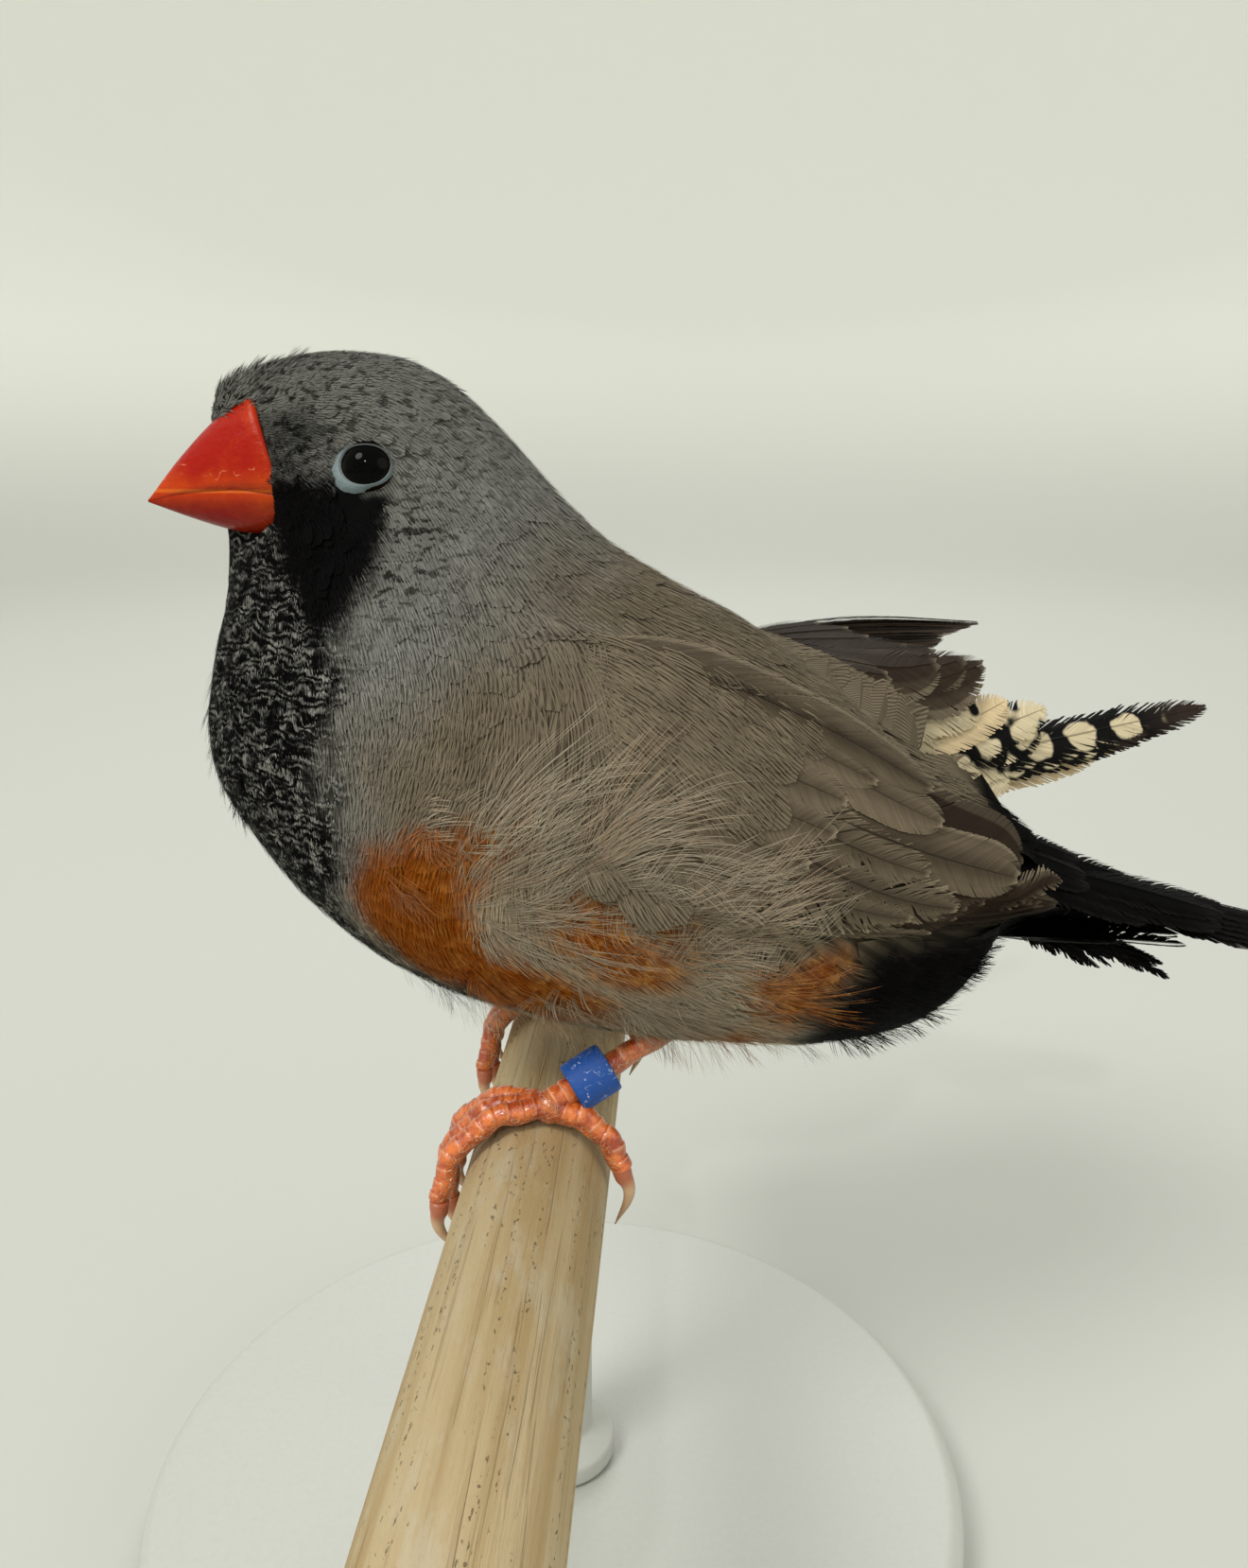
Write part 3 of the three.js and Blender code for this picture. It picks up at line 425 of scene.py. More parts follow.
def look_up(table, t, turn):
    """A table over the unwrapped body, read between its rows and on round its seam."""
    rows, columns = table.shape[:2]
    i_at = np.clip(t, 0, 0.9999) * (rows - 1)
    j_at = (((turn + math.pi) / (2 * math.pi)) % 1) * (columns - 1)
    i, j = np.floor(i_at).astype(int), np.minimum(np.floor(j_at).astype(int), columns - 2)
    u, v = i_at - i, j_at - j
    if table.ndim == 3:
        u, v = u[..., None], v[..., None]
    return ((table[i, j] * (1 - v) + table[i, j + 1] * v) * (1 - u)
            + (table[i + 1, j] * (1 - v) + table[i + 1, j + 1] * v) * u)


def over_body(rows, columns):
    return np.meshgrid(np.linspace(0, 1, rows), np.linspace(-math.pi, math.pi, columns), indexing="ij")


BODY_GRID = over_body(420, 721)
MARKS = markings(*BODY_GRID, body_point(*BODY_GRID))
MARK_NAMES = tuple(MARKS)
MARKS = np.stack([MARKS[key] for key in MARK_NAMES], -1)
print("markings:", ", ".join(MARK_NAMES))

# %% [markdown]
# One finish serves the skin and every body feather. A picture for each would tie it to one size, so the
# shares of each marking come with the points. The fine bars of the breast are worked out here from the
# place itself, so that they run on from feather to feather. Fine dark lines run along the skin and the webs
# the way the feathers lie, and the barbs lie pale over them. Together they draw the hair-like look. The
# tone that each point brings is painted shade: roots, webs and skin are darker, where feathers over them
# would shade them.

# %% Plumage finish
GREY = colour(0x7B7A73)
BROWN = colour(0x6D6250)
BLACK = colour(0x060505)
BAR_PALE = colour(0x8F8E86)
CHESTNUT = colour(0x7E3E04)
CHESTNUT_PALE = colour(0xBE8440)
CREAM = colour(0xC9B48E)
BAR_PITCH = 0.72


def paint_plumage(place):
    shade, tone, rust_share = place.tells("shade", "tone", "chestnut")
    patch = place.noise(0.9, 3, 0.6)
    ripple = place.noise(0.6, 2).times(1.75)
    bar = place.node("ShaderNodeVectorMath", {0: place, 1: ripple}, operation="ADD")
    height = bar.part("Z") + 0.3 * bar.part("Y") + 0.25 * bar.part("X") + 0.3 * place.told("phase")
    wave = place.maths("SINE", height * (2 * math.pi / BAR_PITCH))
    broken = (place.noise(1.1, 2, 0.6) - 0.5) * (4.6 + 3 * place.part("Z").step(94, 74))
    pale_bar = (wave + broken).step(0.0, 1.2)
    breast = (pale_bar * (0.15 + 0.8 * patch.step(0.36, 0.62))).mix(BLACK, BAR_PALE)
    rust = (patch.step(0.4, 0.75) * (0.2 + 0.7 * place.part("X").step(-14, 6))).mix(CHESTNUT, CHESTNUT_PALE)
    colours = place.told("brown").mix(GREY, BROWN)
    specks = place.told("specks")
    dots = place.stretched(0.6, 1, 1).noise(2.0, 1, 0.4).step(0.54, 0.64)
    colours = (specks * dots * 0.85).mix(colours.times(1 - 0.2 * specks), BLACK)
    colours = place.told("cream").mix(colours, CREAM)
    colours = rust_share.mix(colours, rust)
    colours = place.told("bars").mix(colours, breast)
    colours = place.told("black").mix(colours, BLACK)
    hair = place.maths("COSINE", place.told("lane") * (2 * math.pi)).step(-0.9, 0.7)
    # tone is painted shade: roots, webs and skin are darker where the feathers over them shade them
    lit = tone * (0.46 + 0.62 * hair)
    soft = rust_share * 0.5 + place.told("bars") * 0.15
    lit = (lit + soft * (0.9 - lit)) * (1 + 0.9 * shade) * (0.8 + 0.4 * place.noise(0.35, 2))
    return {"Base Color": colours.times(lit), "Roughness": 0.6 + 0.2 * patch}


plumage = new_finish("plumage", paint_plumage, Specular_IOR_Level=0.04)

# %% [markdown]
# Each folded wing is a curved sheet between an edge by the back and an edge by the flank. The near wing
# droops over the flank and the far one is lifted off the back. Feathers could be put in place one by one,
# but a sheet lets them be laid in rows. The coat has to climb over the front of the wings, so a table keeps
# how high they stand over the body at every place of the unwrapped map.

# %% Wing sheets
WINGS = {
    "left": {
        "side": -1,
        "inner": [(-3, -13.4, 47.5), (7, -15.0, 45.5), (19, -13.4, 40), (30, -11.0, 33.2), (37.5, -9.4, 28.6),
                  (42.8, -8.9, 24.2)],
        "outer": [(-5, -17.8, 36), (3, -20.6, 31.5), (12, -21.0, 27.4), (22, -17.8, 24.2), (33, -12.9, 22.0),
                  (43, -9.6, 21.8)],
    },
    "right": {
        "side": 1,
        "inner": [(-3, 13.4, 46.5), (7, 14.2, 45), (17, 9.4, 42.4), (26, 5.4, 38.8), (34.5, 3.8, 36.4),
                  (43.6, 7.2, 38.8)],
        "outer": [(-5, 18.2, 34), (3, 21.6, 33.5), (12, 23.2, 37), (21, 22.6, 41.4), (32, 21.0, 43.6),
                  (46, 19.0, 42.8)],
    },
}
WING_BULGE = 1.0
SHEET_STEP = 0.03  # how far apart two places lie between which a sheet's slope is taken


def wing_surface(wing):
    """The wing's sheet: along from 0 at the wrist to 1 at the tip, across from -1 by the back to 1 by the
    flank."""
    inner, outer = (np.array(wing[edge], float) + PERCH_AXIS for edge in ("inner", "outer"))

    def flat(along, across):
        near, far = through(inner, along), through(outer, along)
        chord = far - near
        start = np.clip(along, 0, 0.98)
        ahead = through(inner, start + 0.02) - through(inner, start)
        out = unit(np.cross(ahead, chord)) * wing["side"]
        share = ((1 + across) / 2)[..., None]
        return near + chord * share + out * (WING_BULGE * (1 - across**2))[..., None]

    def surface(along, across, lift=0.0):
        along, across, lift = np.broadcast_arrays(np.asarray(along, float), across, lift)
        place = flat(along, across)
        to_tip = flat(along + SHEET_STEP, across) - flat(along - SHEET_STEP, across)
        to_outer = flat(along, across + SHEET_STEP) - flat(along, across - SHEET_STEP)
        out = unit(np.cross(to_tip, to_outer)) * wing["side"]
        return place + out * lift[..., None]

    return surface


def surface_frame(surface, a, b):
    """A surface's points, and how far they move with each of its two numbers."""
    e = 1e-3
    along = (surface(a + e, b) - surface(a - e, b)) / (2 * e)
    around = (surface(a, b + e) - surface(a, b - e)) / (2 * e)
    return surface(a, b), along, around


def covert_lift(along, across):
    """How high the small coverts lie over a wing's sheet: sunk at its front and by the back."""
    by_back, by_flank = (smoothstep(sign * np.asarray(across), 0.0, 1.0) for sign in (-1, 1))
    return -1.2 + 2.9 * smoothstep(along, 0.0, 0.22) * (1 - 0.1 * by_back - 0.35 * by_flank)


COVER_SIZE = (90, 240)
WING_SAMPLES = (70, 50)
COAT_CLIMB = 4.0  # the coat climbs no further over a wing than this


def wing_cover():
    """How high the wings stand over the body, as a table over the unwrapped body."""
    t, turn = over_body(*COVER_SIZE)
    base, along, around = surface_frame(body_point, t, turn)
    out = unit(np.cross(along, around)).reshape(-1, 3)
    base = base.reshape(-1, 3)
    out = out * np.where(np.sum(out * (base - base.mean(0)), -1, keepdims=True) < 0, -1, 1)
    tree = KDTree(len(base))
    for i, point in enumerate(base):
        tree.insert(point, i)
    tree.balance()
    table = np.zeros(len(base))
    for wing in WINGS.values():
        rows, columns = WING_SAMPLES
        along, across = np.meshgrid(np.linspace(0, 1, rows), np.linspace(-1, 1, columns), indexing="ij")
        for point in wing_surface(wing)(along, across, covert_lift(along, across)).reshape(-1, 3):
            _, i, _ = tree.find(point)
            table[i] = max(table[i], np.dot(point - base[i], out[i]))
    table = table.reshape(COVER_SIZE)
    for axis in (0, 1):
        table = np.maximum.reduce([table, np.roll(table, 1, axis), np.roll(table, -1, axis)])
    for _ in range(3):
        for axis in (0, 1):
            table = (2 * table + np.roll(table, 1, axis) + np.roll(table, -1, axis)) / 4
    return table


COVER = wing_cover()
print("wings stand up to", round(float(COVER.max()), 1), "mm over the body")


def cover_at(t, turn):
    return look_up(COVER, t, turn)


def clothed_point(t, turn, grow=0.0):
    """The outline of the body and of the wings' fronts that lie on it."""
    t, turn, grow = np.broadcast_arrays(np.asarray(t, float), turn, grow)
    return body_point(t, turn, grow + np.minimum(cover_at(t, turn), COAT_CLIMB))

# %% [markdown]
# The skin is the body itself, drawn in by the coat's depth. The three solids of head, neck and torso could
# each be dressed alone, but one piece stands for all of them, so no seam shows between them. Its rings are
# closed at both ends by a point in the middle. It carries the same hair lines as the coat, and a table
# keeps how the lie of the feathers turns them from the straight line to the tail.

# %% Skin
MAP_MARGIN = 0.02


def unwrap(t, turn):
    """The place on the unwrapped skin, which the bake uses for the skin and for each feather's root."""
    field = 1 - 2 * MAP_MARGIN
    place = np.stack([turn / (2 * math.pi) + 0.5, np.asarray(t)], -1)
    return MAP_MARGIN + field * place


LANES = 380  # hair lines round the body


def lane_shifts(rows=161, columns=361):
    """How far round the feathers' lie has turned each hair line, over the unwrapped body."""
    t, turn = over_body(rows, columns)
    turn = turn[0]
    here, table = turn.copy(), [0 * turn]
    for before, after in zip(t[:-1, 0], t[1:, 0]):
        _, along, around = surface_frame(body_point, np.full(columns, before), here)
        slope = np.linalg.norm(along, axis=-1) / np.maximum(np.linalg.norm(around, axis=-1), 1)
        shift = np.sign(here) * np.tan(lie_of(before, here)) * slope * (after - before)
        here = np.maximum.accumulate(here + shift)
        table.append(np.interp(turn, here, turn) - turn)
    return np.array(table)


LANE_SHIFTS = lane_shifts()


def body_lane(t, turn):
    """Which hair line passes a place on the body. The lines run the way the feathers lie."""
    return LANES * (turn + look_up(LANE_SHIFTS, t, turn)) / (2 * math.pi)


def make_skin(rings=260, around=240):
    t, turn = over_body(rings, around)
    under_wing = 0.7 * np.minimum(cover_at(t, turn), 3) * (1 - smoothstep(t, 0.62, 0.7))
    points = body_point(t, turn, under_wing - skin_depth(t))
    points[..., 1] *= 1 - 0.5 * smoothstep(before_bill_base(points), 0.0, 0.4)  # drawn in where the bill is
    marks = markings(t, turn, body_point(t, turn))
    points = points.reshape(-1, 3)
    ends = [points[:around].mean(0), points[-around:].mean(0)]
    points = np.concatenate([points, ends])
    k = np.arange(around - 1)
    first = np.stack([k + 1, k, np.full_like(k, len(points) - 2)], -1)
    last = (rings - 1) * around
    second = np.stack([last + k, last + k + 1, np.full_like(k, len(points) - 1)], -1)
    told = {key: np.append(v.ravel(), [v[0].mean(), v[-1].mean()]) for key, v in marks.items()}
    uv = np.concatenate([unwrap(t, turn).reshape(-1, 2), [[0.5, 0.01], [0.5, 0.99]]])
    flat = np.zeros(len(points))
    faces = [grid_faces(rings, around), first, second]
    # the skin's tone of 0.7 paints it darker than the barbs: painted shade in the gaps of the coat
    return make_piece(
        "skin", points, faces, plumage, ("head", "neck", "torso"), "grey_plumage", uv=uv,
        shade=flat, tone=flat + 0.7, phase=flat, lane=np.append(body_lane(t, turn).ravel(), [0, 0]), **told,
    )


make_skin()

# %% [markdown]
# A body feather shows only its end: a fan of loose barbs over a dark web. Particle hair would be quick, but
# it isn't mesh, so each feather here is a thin web of six triangles with a fan of narrow barbs over it.
# Roots are spread evenly by area, and every point is placed on the body's surface itself, so that feathers
# follow its curves. A feather's web carries the hair lines of the place where it lies.

# %% Growing feathers on a surface
WEB = np.array([(0.0, 0.0), (0.3, -0.85), (0.3, 0.85), (0.62, -0.92), (0.62, 0.92), (0.86, -0.55),
                (0.86, 0.55), (0.95, 0.0)])  # along and across, as shares of the length and the half width
WEB_FACES = np.array([(0, 1, 2), (1, 3, 2), (2, 3, 4), (3, 5, 4), (4, 5, 6), (5, 7, 6)])
UV_PATCH = 0.003  # a feather's field on the map that is baked
EVEN_STEPS = (0.7548776662, 0.5698402910)  # multiples of these, less their whole parts, fill a square evenly


def steps_for(vector, along, around):
    """The changes of the surface's two numbers that move a point by a tangent vector of one millimetre."""
    aa, ab, bb = (np.sum(x * y, -1) for x, y in ((along, along), (along, around), (around, around)))
    va, vb = np.sum(vector * along, -1), np.sum(vector * around, -1)
    det = np.maximum(aa * bb - ab * ab, 1e-9)
    return np.stack([(va * bb - vb * ab) / det, (vb * aa - va * ab) / det], -1)


def spread_roots(surface, a_range, b_range, count):
    """Evenly spread places on a surface: a low-discrepancy sequence, made even by area."""
    a = np.linspace(*a_range, 160)
    b = np.linspace(*b_range, 200)
    grid_a, grid_b = np.meshgrid(a, b, indexing="ij")
    _, along, around = surface_frame(surface, grid_a, grid_b)
    area = np.linalg.norm(np.cross(along, around), axis=-1)
    rows = np.cumsum(area.sum(1))
    u, v = ((np.arange(1, count + 1) * step) % 1 for step in EVEN_STEPS)
    at_a = np.interp(u * rows[-1], rows, a)
    index = np.clip(np.searchsorted(a, at_a), 0, len(a) - 1)
    columns = np.cumsum(area, 1)
    share = columns / columns[:, -1:]
    at_b = np.empty(count)
    for row in np.unique(index):
        here = index == row
        at_b[here] = np.interp(v[here], share[row], b)
    return at_a, at_b


def heading(surface, a, b, lie, outward=1.0, sense=None):
    """For feathers at a and b: the changes of the two numbers that move on along them, and to their side."""
    _, along, around = surface_frame(surface, a, b)
    out = unit(np.cross(along, around)) * outward
    ahead = unit(along)
    down = unit(np.cross(out, ahead))
    sense = np.sign(b)[:, None] if sense is None else sense
    down = down * np.where(np.sum(down * around, -1, keepdims=True) * sense >= 0, 1, -1)
    course = ahead * np.cos(lie)[:, None] + down * np.sin(lie)[:, None]
    return steps_for(course, along, around), steps_for(np.cross(out, course), along, around)


def barb_faces(rows):
    """Triangles of one barb: a strip of two edges with rows - 1 points each, drawn together in a point."""
    made = []
    for r in range(rows - 2):
        made += [(r, r + 1, rows + r + 1), (r, rows + r + 1, rows + r)]
    return np.array(made + [(rows - 2, rows - 1, 2 * rows - 2)])


def fan_faces(count, each, barbs, rows, web):
    """Triangles of all the feathers. The points of each are those of its barbs and then those of its web."""
    base = (np.arange(count) * each)[:, None, None]
    points_in_barb = 2 * rows - 1
    faces = (base + (np.arange(barbs) * points_in_barb)[None, :, None])[..., None] + barb_faces(rows)
    made = [faces.reshape(-1, 3)]
    if web:
        made.append((base + barbs * points_in_barb + WEB_FACES).reshape(-1, 3))
    return made


def barb_strips(rng, length, width, barbs, rows, barb_width, loose, fan, bend):
    """The barbs of each feather: s along it and c across it in millimetres, at shares k of each barb."""
    size = (len(length), barbs)
    u = np.linspace(-1, 1, barbs) + rng.normal(0, loose * 0.5, size)
    start_s = length[:, None] * (0.06 + 0.3 * (1 - np.abs(u)))
    end_s = length[:, None] * (1 - 0.3 * u**2) * rng.uniform(1 - loose * 3, 1.06, size)
    start_c = (1 - fan) * width[:, None] * u
    end_c = width[:, None] * (u + rng.normal(0, loose * 0.7, size))
    k = np.linspace(0, 1, rows)
    s = start_s[..., None] + (end_s - start_s)[..., None] * k
    c = start_c[..., None] + (end_c - start_c)[..., None] * k**0.8
    share = s / length[:, None, None]
    c = c + bend[:, None, None] * share * (share - 1)
    lean = unit(np.stack([np.gradient(s, axis=-1), np.gradient(c, axis=-1)], -1))
    half = barb_width[:, None, None] / 2 * np.where(k < 1, 1 - 0.45 * k, 0)
    left = [s - lean[..., 1] * half, c + lean[..., 0] * half]
    right = [s + lean[..., 1] * half, c - lean[..., 0] * half]
    s, c = (np.concatenate([l, r[..., :-1]], -1) for l, r in zip(left, right))
    return s, c, np.concatenate([k, k[:-1]])


def web_leaves(length, width, depth, rise, shade):
    """The web under each feather's barbs: s, c, lift, shade, tone and 1 for being on the web."""
    along, across = WEB.T
    s, c = length[:, None] * along, width[:, None] * across
    lift = -depth[:, None] * (1 - along) ** 1.6 + rise[:, None] * along**1.3
    lift = lift - 0.06 - 0.2 * across**2 - 0.1 * (along > 0.8)
    # a tone of 0.85 paints the web darker than the barbs over it: painted shade between them
    return s, c, lift, np.broadcast_to(shade, s.shape), 0 * s + 0.85, 0 * s + 1


def marks_near(rng, at_a, at_b, step_on, step_side):
    """The markings at each point's own place, shifted a little with its feather."""
    count = len(at_a)
    shift = rng.normal(0, 0.3, (count, 1)) * step_on + rng.normal(0, 0.3, (count, 1)) * step_side
    found = look_up(MARKS, at_a + shift[:, :1], at_b + shift[:, 1:])
    return {key: found[..., i].ravel() for i, key in enumerate(MARK_NAMES)}


def grow_feathers(name, surface, a, b, length, width, barbs, depth, rise, lie, seed, marks=None, outward=1.0,
                  barb_width=0.12, web=True, loose=0.06, rows=3, fan=0.5, bend=0.0, slot="grey_plumage",
                  uv_of=unwrap, tones=(0.7, 0.9, 1.0), fuzz=0.04, lane_of=body_lane, sense=None):
    """Feathers rooted at a and b on a surface, with sizes in millimetres. Where marks are given, those that
    they leave out are 0."""
    rng = np.random.default_rng(seed)
    count, zero = len(a), np.zeros(len(a))
    spread = (length, width, depth, rise, barb_width, bend)
    length, width, depth, rise, barb_width, bend = (zero + v for v in spread)
    step_on, step_side = heading(surface, a, b, lie + rng.normal(0, loose, count), outward, sense)
    length = length * rng.uniform(0.82, 1.18, count)
    s, c, k = barb_strips(rng, length, width, barbs, rows, barb_width, loose, fan, bend)
    wave = rng.normal(0, fuzz, (count, barbs, 1))
    lift = -depth[:, None, None] * (1 - k) ** 1.6 + (rise[:, None, None] + wave) * k**1.3
    lift = lift - 0.2 * (c / width[:, None, None]) ** 2  # the sides sink in, so that no scale shows its edge
    shade = rng.normal(0, 0.03, (count, 1, 1)) + rng.normal(0, 0.07, (count, barbs, 1))
    # painted shade: each barb is darker towards its root, where the feathers over it shade it
    tone = np.interp(k, [0, 0.5, 1], tones)
    shapes = [(s, c, lift, np.broadcast_to(shade, s.shape), np.broadcast_to(tone, s.shape), 0 * s)]
    if web:
        shapes.append(web_leaves(length, width, depth, rise, shade.mean(1)))
    joined = [np.concatenate([part.reshape(count, -1) for part in parts], 1) for parts in zip(*shapes)]
    s, c, lift, shade, tone, on_web = joined
    at_a = a[:, None] + s * step_on[:, None, 0] + c * step_side[:, None, 0]
    at_b = b[:, None] + s * step_on[:, None, 1] + c * step_side[:, None, 1]
    points = surface(at_a, at_b, lift)
    each = points.shape[1]
    lane = on_web * (lane_of(at_a, at_b) + rng.normal(0, 0.1, (count, 1)))
    if marks is None:
        told = marks_near(rng, at_a, at_b, step_on, step_side)
    else:
        told = {key: np.repeat(zero + marks.get(key, 0), each) for key in MARK_NAMES}
    across = c / width[:, None]
    phase = 0.8 * across**2 + rng.uniform(0, 1, (count, 1))
    local = np.stack([s / length[:, None] - 0.5, across / 2], -1) * UV_PATCH
    uv = (uv_of(a, b)[:, None, :] + local).reshape(-1, 2)
    faces = fan_faces(count, each, barbs, rows, web)
    told.update(shade=shade.ravel(), tone=tone.ravel(), phase=phase.ravel(), lane=lane.ravel())
    return make_piece(name, points.reshape(-1, 3), faces, plumage, (), slot, smooth=False, uv=uv, **told)

# %% [markdown]
# The coat is grown in bands from the face back. Feathers on the face are barely a millimetre long, those on
# the flanks six, and each band has its own number of barbs. One band for the whole bird would be a simpler
# list, but too heavy a piece. A real coat has no bands: neighbouring ones share the same rules for length,
# so they run into each other.

# %% Coat
EYE_AT = np.array([-13.4, 5.9, 58.3 + PERCH_HEIGHT])
COAT_ALONG = [0, 0.12, 0.25, 0.4, 0.52, 0.62, 0.8, 1]
COAT_LENGTH = [1.0, 1.3, 1.6, 2.8, 4.8, 6.0, 6.2, 5.2]
COAT_WIDTH = [0.28, 0.34, 0.42, 0.8, 1.35, 1.7, 1.8, 1.5]
BARB_WIDTH = [0.07, 0.08, 0.08, 0.1, 0.12, 0.13, 0.13, 0.13]


def clear_of_eye(roots):
    """Which roots leave room for the eye and its lid, which reach further in front and below."""
    aside = np.abs(roots) * (-1, 1, 1) - EYE_AT
    fore, high = aside[:, 0], aside[:, 2]
    flat = np.maximum(np.hypot(fore, high), 0.1)
    clear = 1.95 + 2.0 * np.clip(-fore / flat, 0, 1) - 0.35 * np.clip(fore / flat, 0, 1)
    clear = clear + 0.2 * np.clip(-high / flat, 0, 1)
    return (flat > clear) | (np.abs(roots[:, 1]) < 4)


def climb_limit(t, turn):
    """How high on the wings the coat's feathers still root: most at their front, by the back and by the
    flank."""
    around = np.degrees(np.abs(turn))
    limit = np.interp(t, [0.6, 0.72], [3.2, 0.9])
    return limit + 1.6 * (around < 62) * (t < 0.85) + 1.3 * (around > 84) * (t < 0.78)


def grow_band(name, t_range, count, barbs, seed, surface=body_point, rows=3):
    t, turn = spread_roots(body_point, t_range, (-math.pi, math.pi), count)
    roots = body_point(t, turn)
    limit = climb_limit(t, turn)
    ragged = np.random.default_rng(seed + 200).uniform(0.55, 1.1, count)
    keep = clear_of_eye(roots) & (before_bill_base(roots) < 0.1) & (cover_at(t, turn) < limit * ragged)
    t, turn, limit = t[keep], turn[keep], limit[keep]
    length, width, barb = (np.interp(t, COAT_ALONG, v) for v in (COAT_LENGTH, COAT_WIDTH, BARB_WIDTH))
    rng = np.random.default_rng(seed + 100)
    a_few = rng.uniform(size=len(t)) < 0.04 * (t < 0.4)
    ending = cover_at(t + 0.05, turn) / limit  # tips sink in where the coat ends
    rise = 0.05 + np.where(a_few, rng.uniform(0.1, 0.4, len(t)), 0)
    rise = rise - 0.75 * smoothstep(ending, 0.45, 0.95) * (t > 0.5)
    return grow_feathers(name, surface, t, turn, length, width, barbs, skin_depth(t), rise,
                         lie_of(t, turn), seed, barb_width=barb, rows=rows)


grow_band("coat_face", (0.0, 0.24), 2600, 5, 11)
grow_band("coat_cheeks", (0.2, 0.36), 2600, 5, 12)
grow_band("coat_nape", (0.34, 0.47), 1500, 7, 13)
grow_band("coat_neck", (0.45, 0.56), 800, 8, 14, clothed_point, 4)
grow_band("coat_shoulders", (0.54, 0.64), 760, 10, 15, clothed_point, 4)
grow_band("coat_flanks", (0.62, 0.72), 760, 10, 16, clothed_point, 4)
grow_band("coat_loins", (0.7, 0.82), 450, 10, 17, clothed_point, 4)
grow_band("coat_rump", (0.8, 1.0), 450, 10, 18, clothed_point, 4)

# %% [markdown]
# A live bird's outline is never smooth. Here and there the coat stands up: short tufts over the bill,
# bristles under the belly, a shaggy mass of black plumes at the vent. A rougher coat would break the
# outline everywhere alike, so each kind is a row of a table, and its feathers have no web, so that light
# passes between their barbs. Bristles of the same make lean forward over the bill's base and hide its edge.

# %% Tufts
TUFTS = [  # name, along, degrees round, count, length, half width, barbs, barb width, rise, lie
    ("crest", (0.03, 0.2), (0, 58), 170, 1.7, 0.4, 7, 0.08, (0.2, 0.9), 0.0),
    ("brow", (0.02, 0.12), (0, 60), 60, 1.0, 0.35, 6, 0.08, (0.2, 0.7), math.pi),
    ("lores", (0.15, 0.3), (60, 104), 90, 1.3, 0.4, 7, 0.06, (0.1, 0.5), 0.3),
    ("throat", (0.36, 0.58), (135, 180), 110, 2.6, 0.5, 6, 0.09, (0.3, 1.0), 0.0),
    ("belly", (0.66, 0.83), (136, 180), 160, 5.0, 1.0, 12, 0.06, (0.8, 3.2), 0.0),
    ("vent", (0.83, 0.985), (88, 180), 230, 6.5, 1.2, 12, 0.1, (0.4, 2.2), 0.15),
]


def grow_tufts(name, along, degrees, count, length, width, barbs, barb_width, rises, lie, seed):
    rng = np.random.default_rng(seed)
    t = rng.uniform(*along, count)
    turn = np.radians(rng.uniform(*degrees, count)) * rng.choice([-1, 1], count)
    keep = before_bill_base(body_point(t, turn)) < 0.1
    t, turn = t[keep], turn[keep]
    count = len(t)
    rise = rng.uniform(*rises, count)
    lie = lie + rng.normal(0, 0.15, count)
    bend = rng.normal(0, 0.8 * width, count)
    return grow_feathers("tufts_" + name, body_point, t, turn, length, width, barbs, 0.4, rise, lie, seed,
                         barb_width=barb_width, web=False, loose=0.12, rows=5, fan=0.7, bend=bend, fuzz=0.08,
                         slot="dark_plumage" if name == "vent" else "grey_plumage")


def grow_bill_edge(tries=2400, most=260, seed=29):
    """Bristles that grow forward over the bill's base. Of the places tried, those just behind it are kept."""
    rng = np.random.default_rng(seed)
    t = rng.uniform(0.02, 0.4, tries)
    turn = np.radians(rng.uniform(8, 112, tries)) * rng.choice([-1, 1], tries)
    ahead = before_bill_base(body_point(t, turn))
    keep = (ahead < -0.05) & (ahead > -0.4)
    t, turn = t[keep][:most], turn[keep][:most]
    count = len(t)
    length = rng.uniform(0.7, 1.1, count)
    rise = rng.uniform(0.2, 0.5, count)
    lie = math.pi + rng.normal(0, 0.5, count)
    return grow_feathers("tufts_bill_edge", body_point, t, turn, length, width=0.22, barbs=4, depth=0.2,
                         rise=rise, lie=lie, seed=seed, barb_width=0.07, web=False, loose=0.1, rows=4,
                         fan=0.6, fuzz=0.05)


for seed, row in enumerate(TUFTS, 21):
    grow_tufts(*row, seed)
grow_bill_edge()

# %% [markdown]
# A flight feather is a shaft with a flat web on each side, and the web is a row of barbs that lie edge over
# edge. A plain leaf with a painted pattern would do from afar. Barbs of real mesh are chosen, because they
# give the fine slanting lines, the soft frayed rim and the small splits without any picture.

# %% Feathers with a web
def feather_width(s, point):
    """A feather's half width at s, as a share of its widest, with its point drawn from that share on."""
    base = 0.45 + 0.55 * smoothstep(s, 0, 0.45)
    past = np.clip((s - point) / (1 - point), 0, 1)
    return base * np.maximum(0.02, np.sqrt(1 - np.minimum(1, past) ** 2.2))


BARB_SHARES = np.array([0.0, 0.55, 1.0])  # places along a barb
BARB_HALVES = np.array([0.62, 0.66, 0.42])  # its half width there, in steps from barb to barb
BARB_EDGES = ((-1, -0.02), (1, 0.035))  # its lower and its upper edge, and how high they lie
SPLITS = 2
CAMBER = 0.35
SHAFT_STEPS = 16
SHAFT_RIDGE = ((1, 0.0), (0, 0.9), (-1, 0.0))  # rows of points across the shaft, and how high they stand


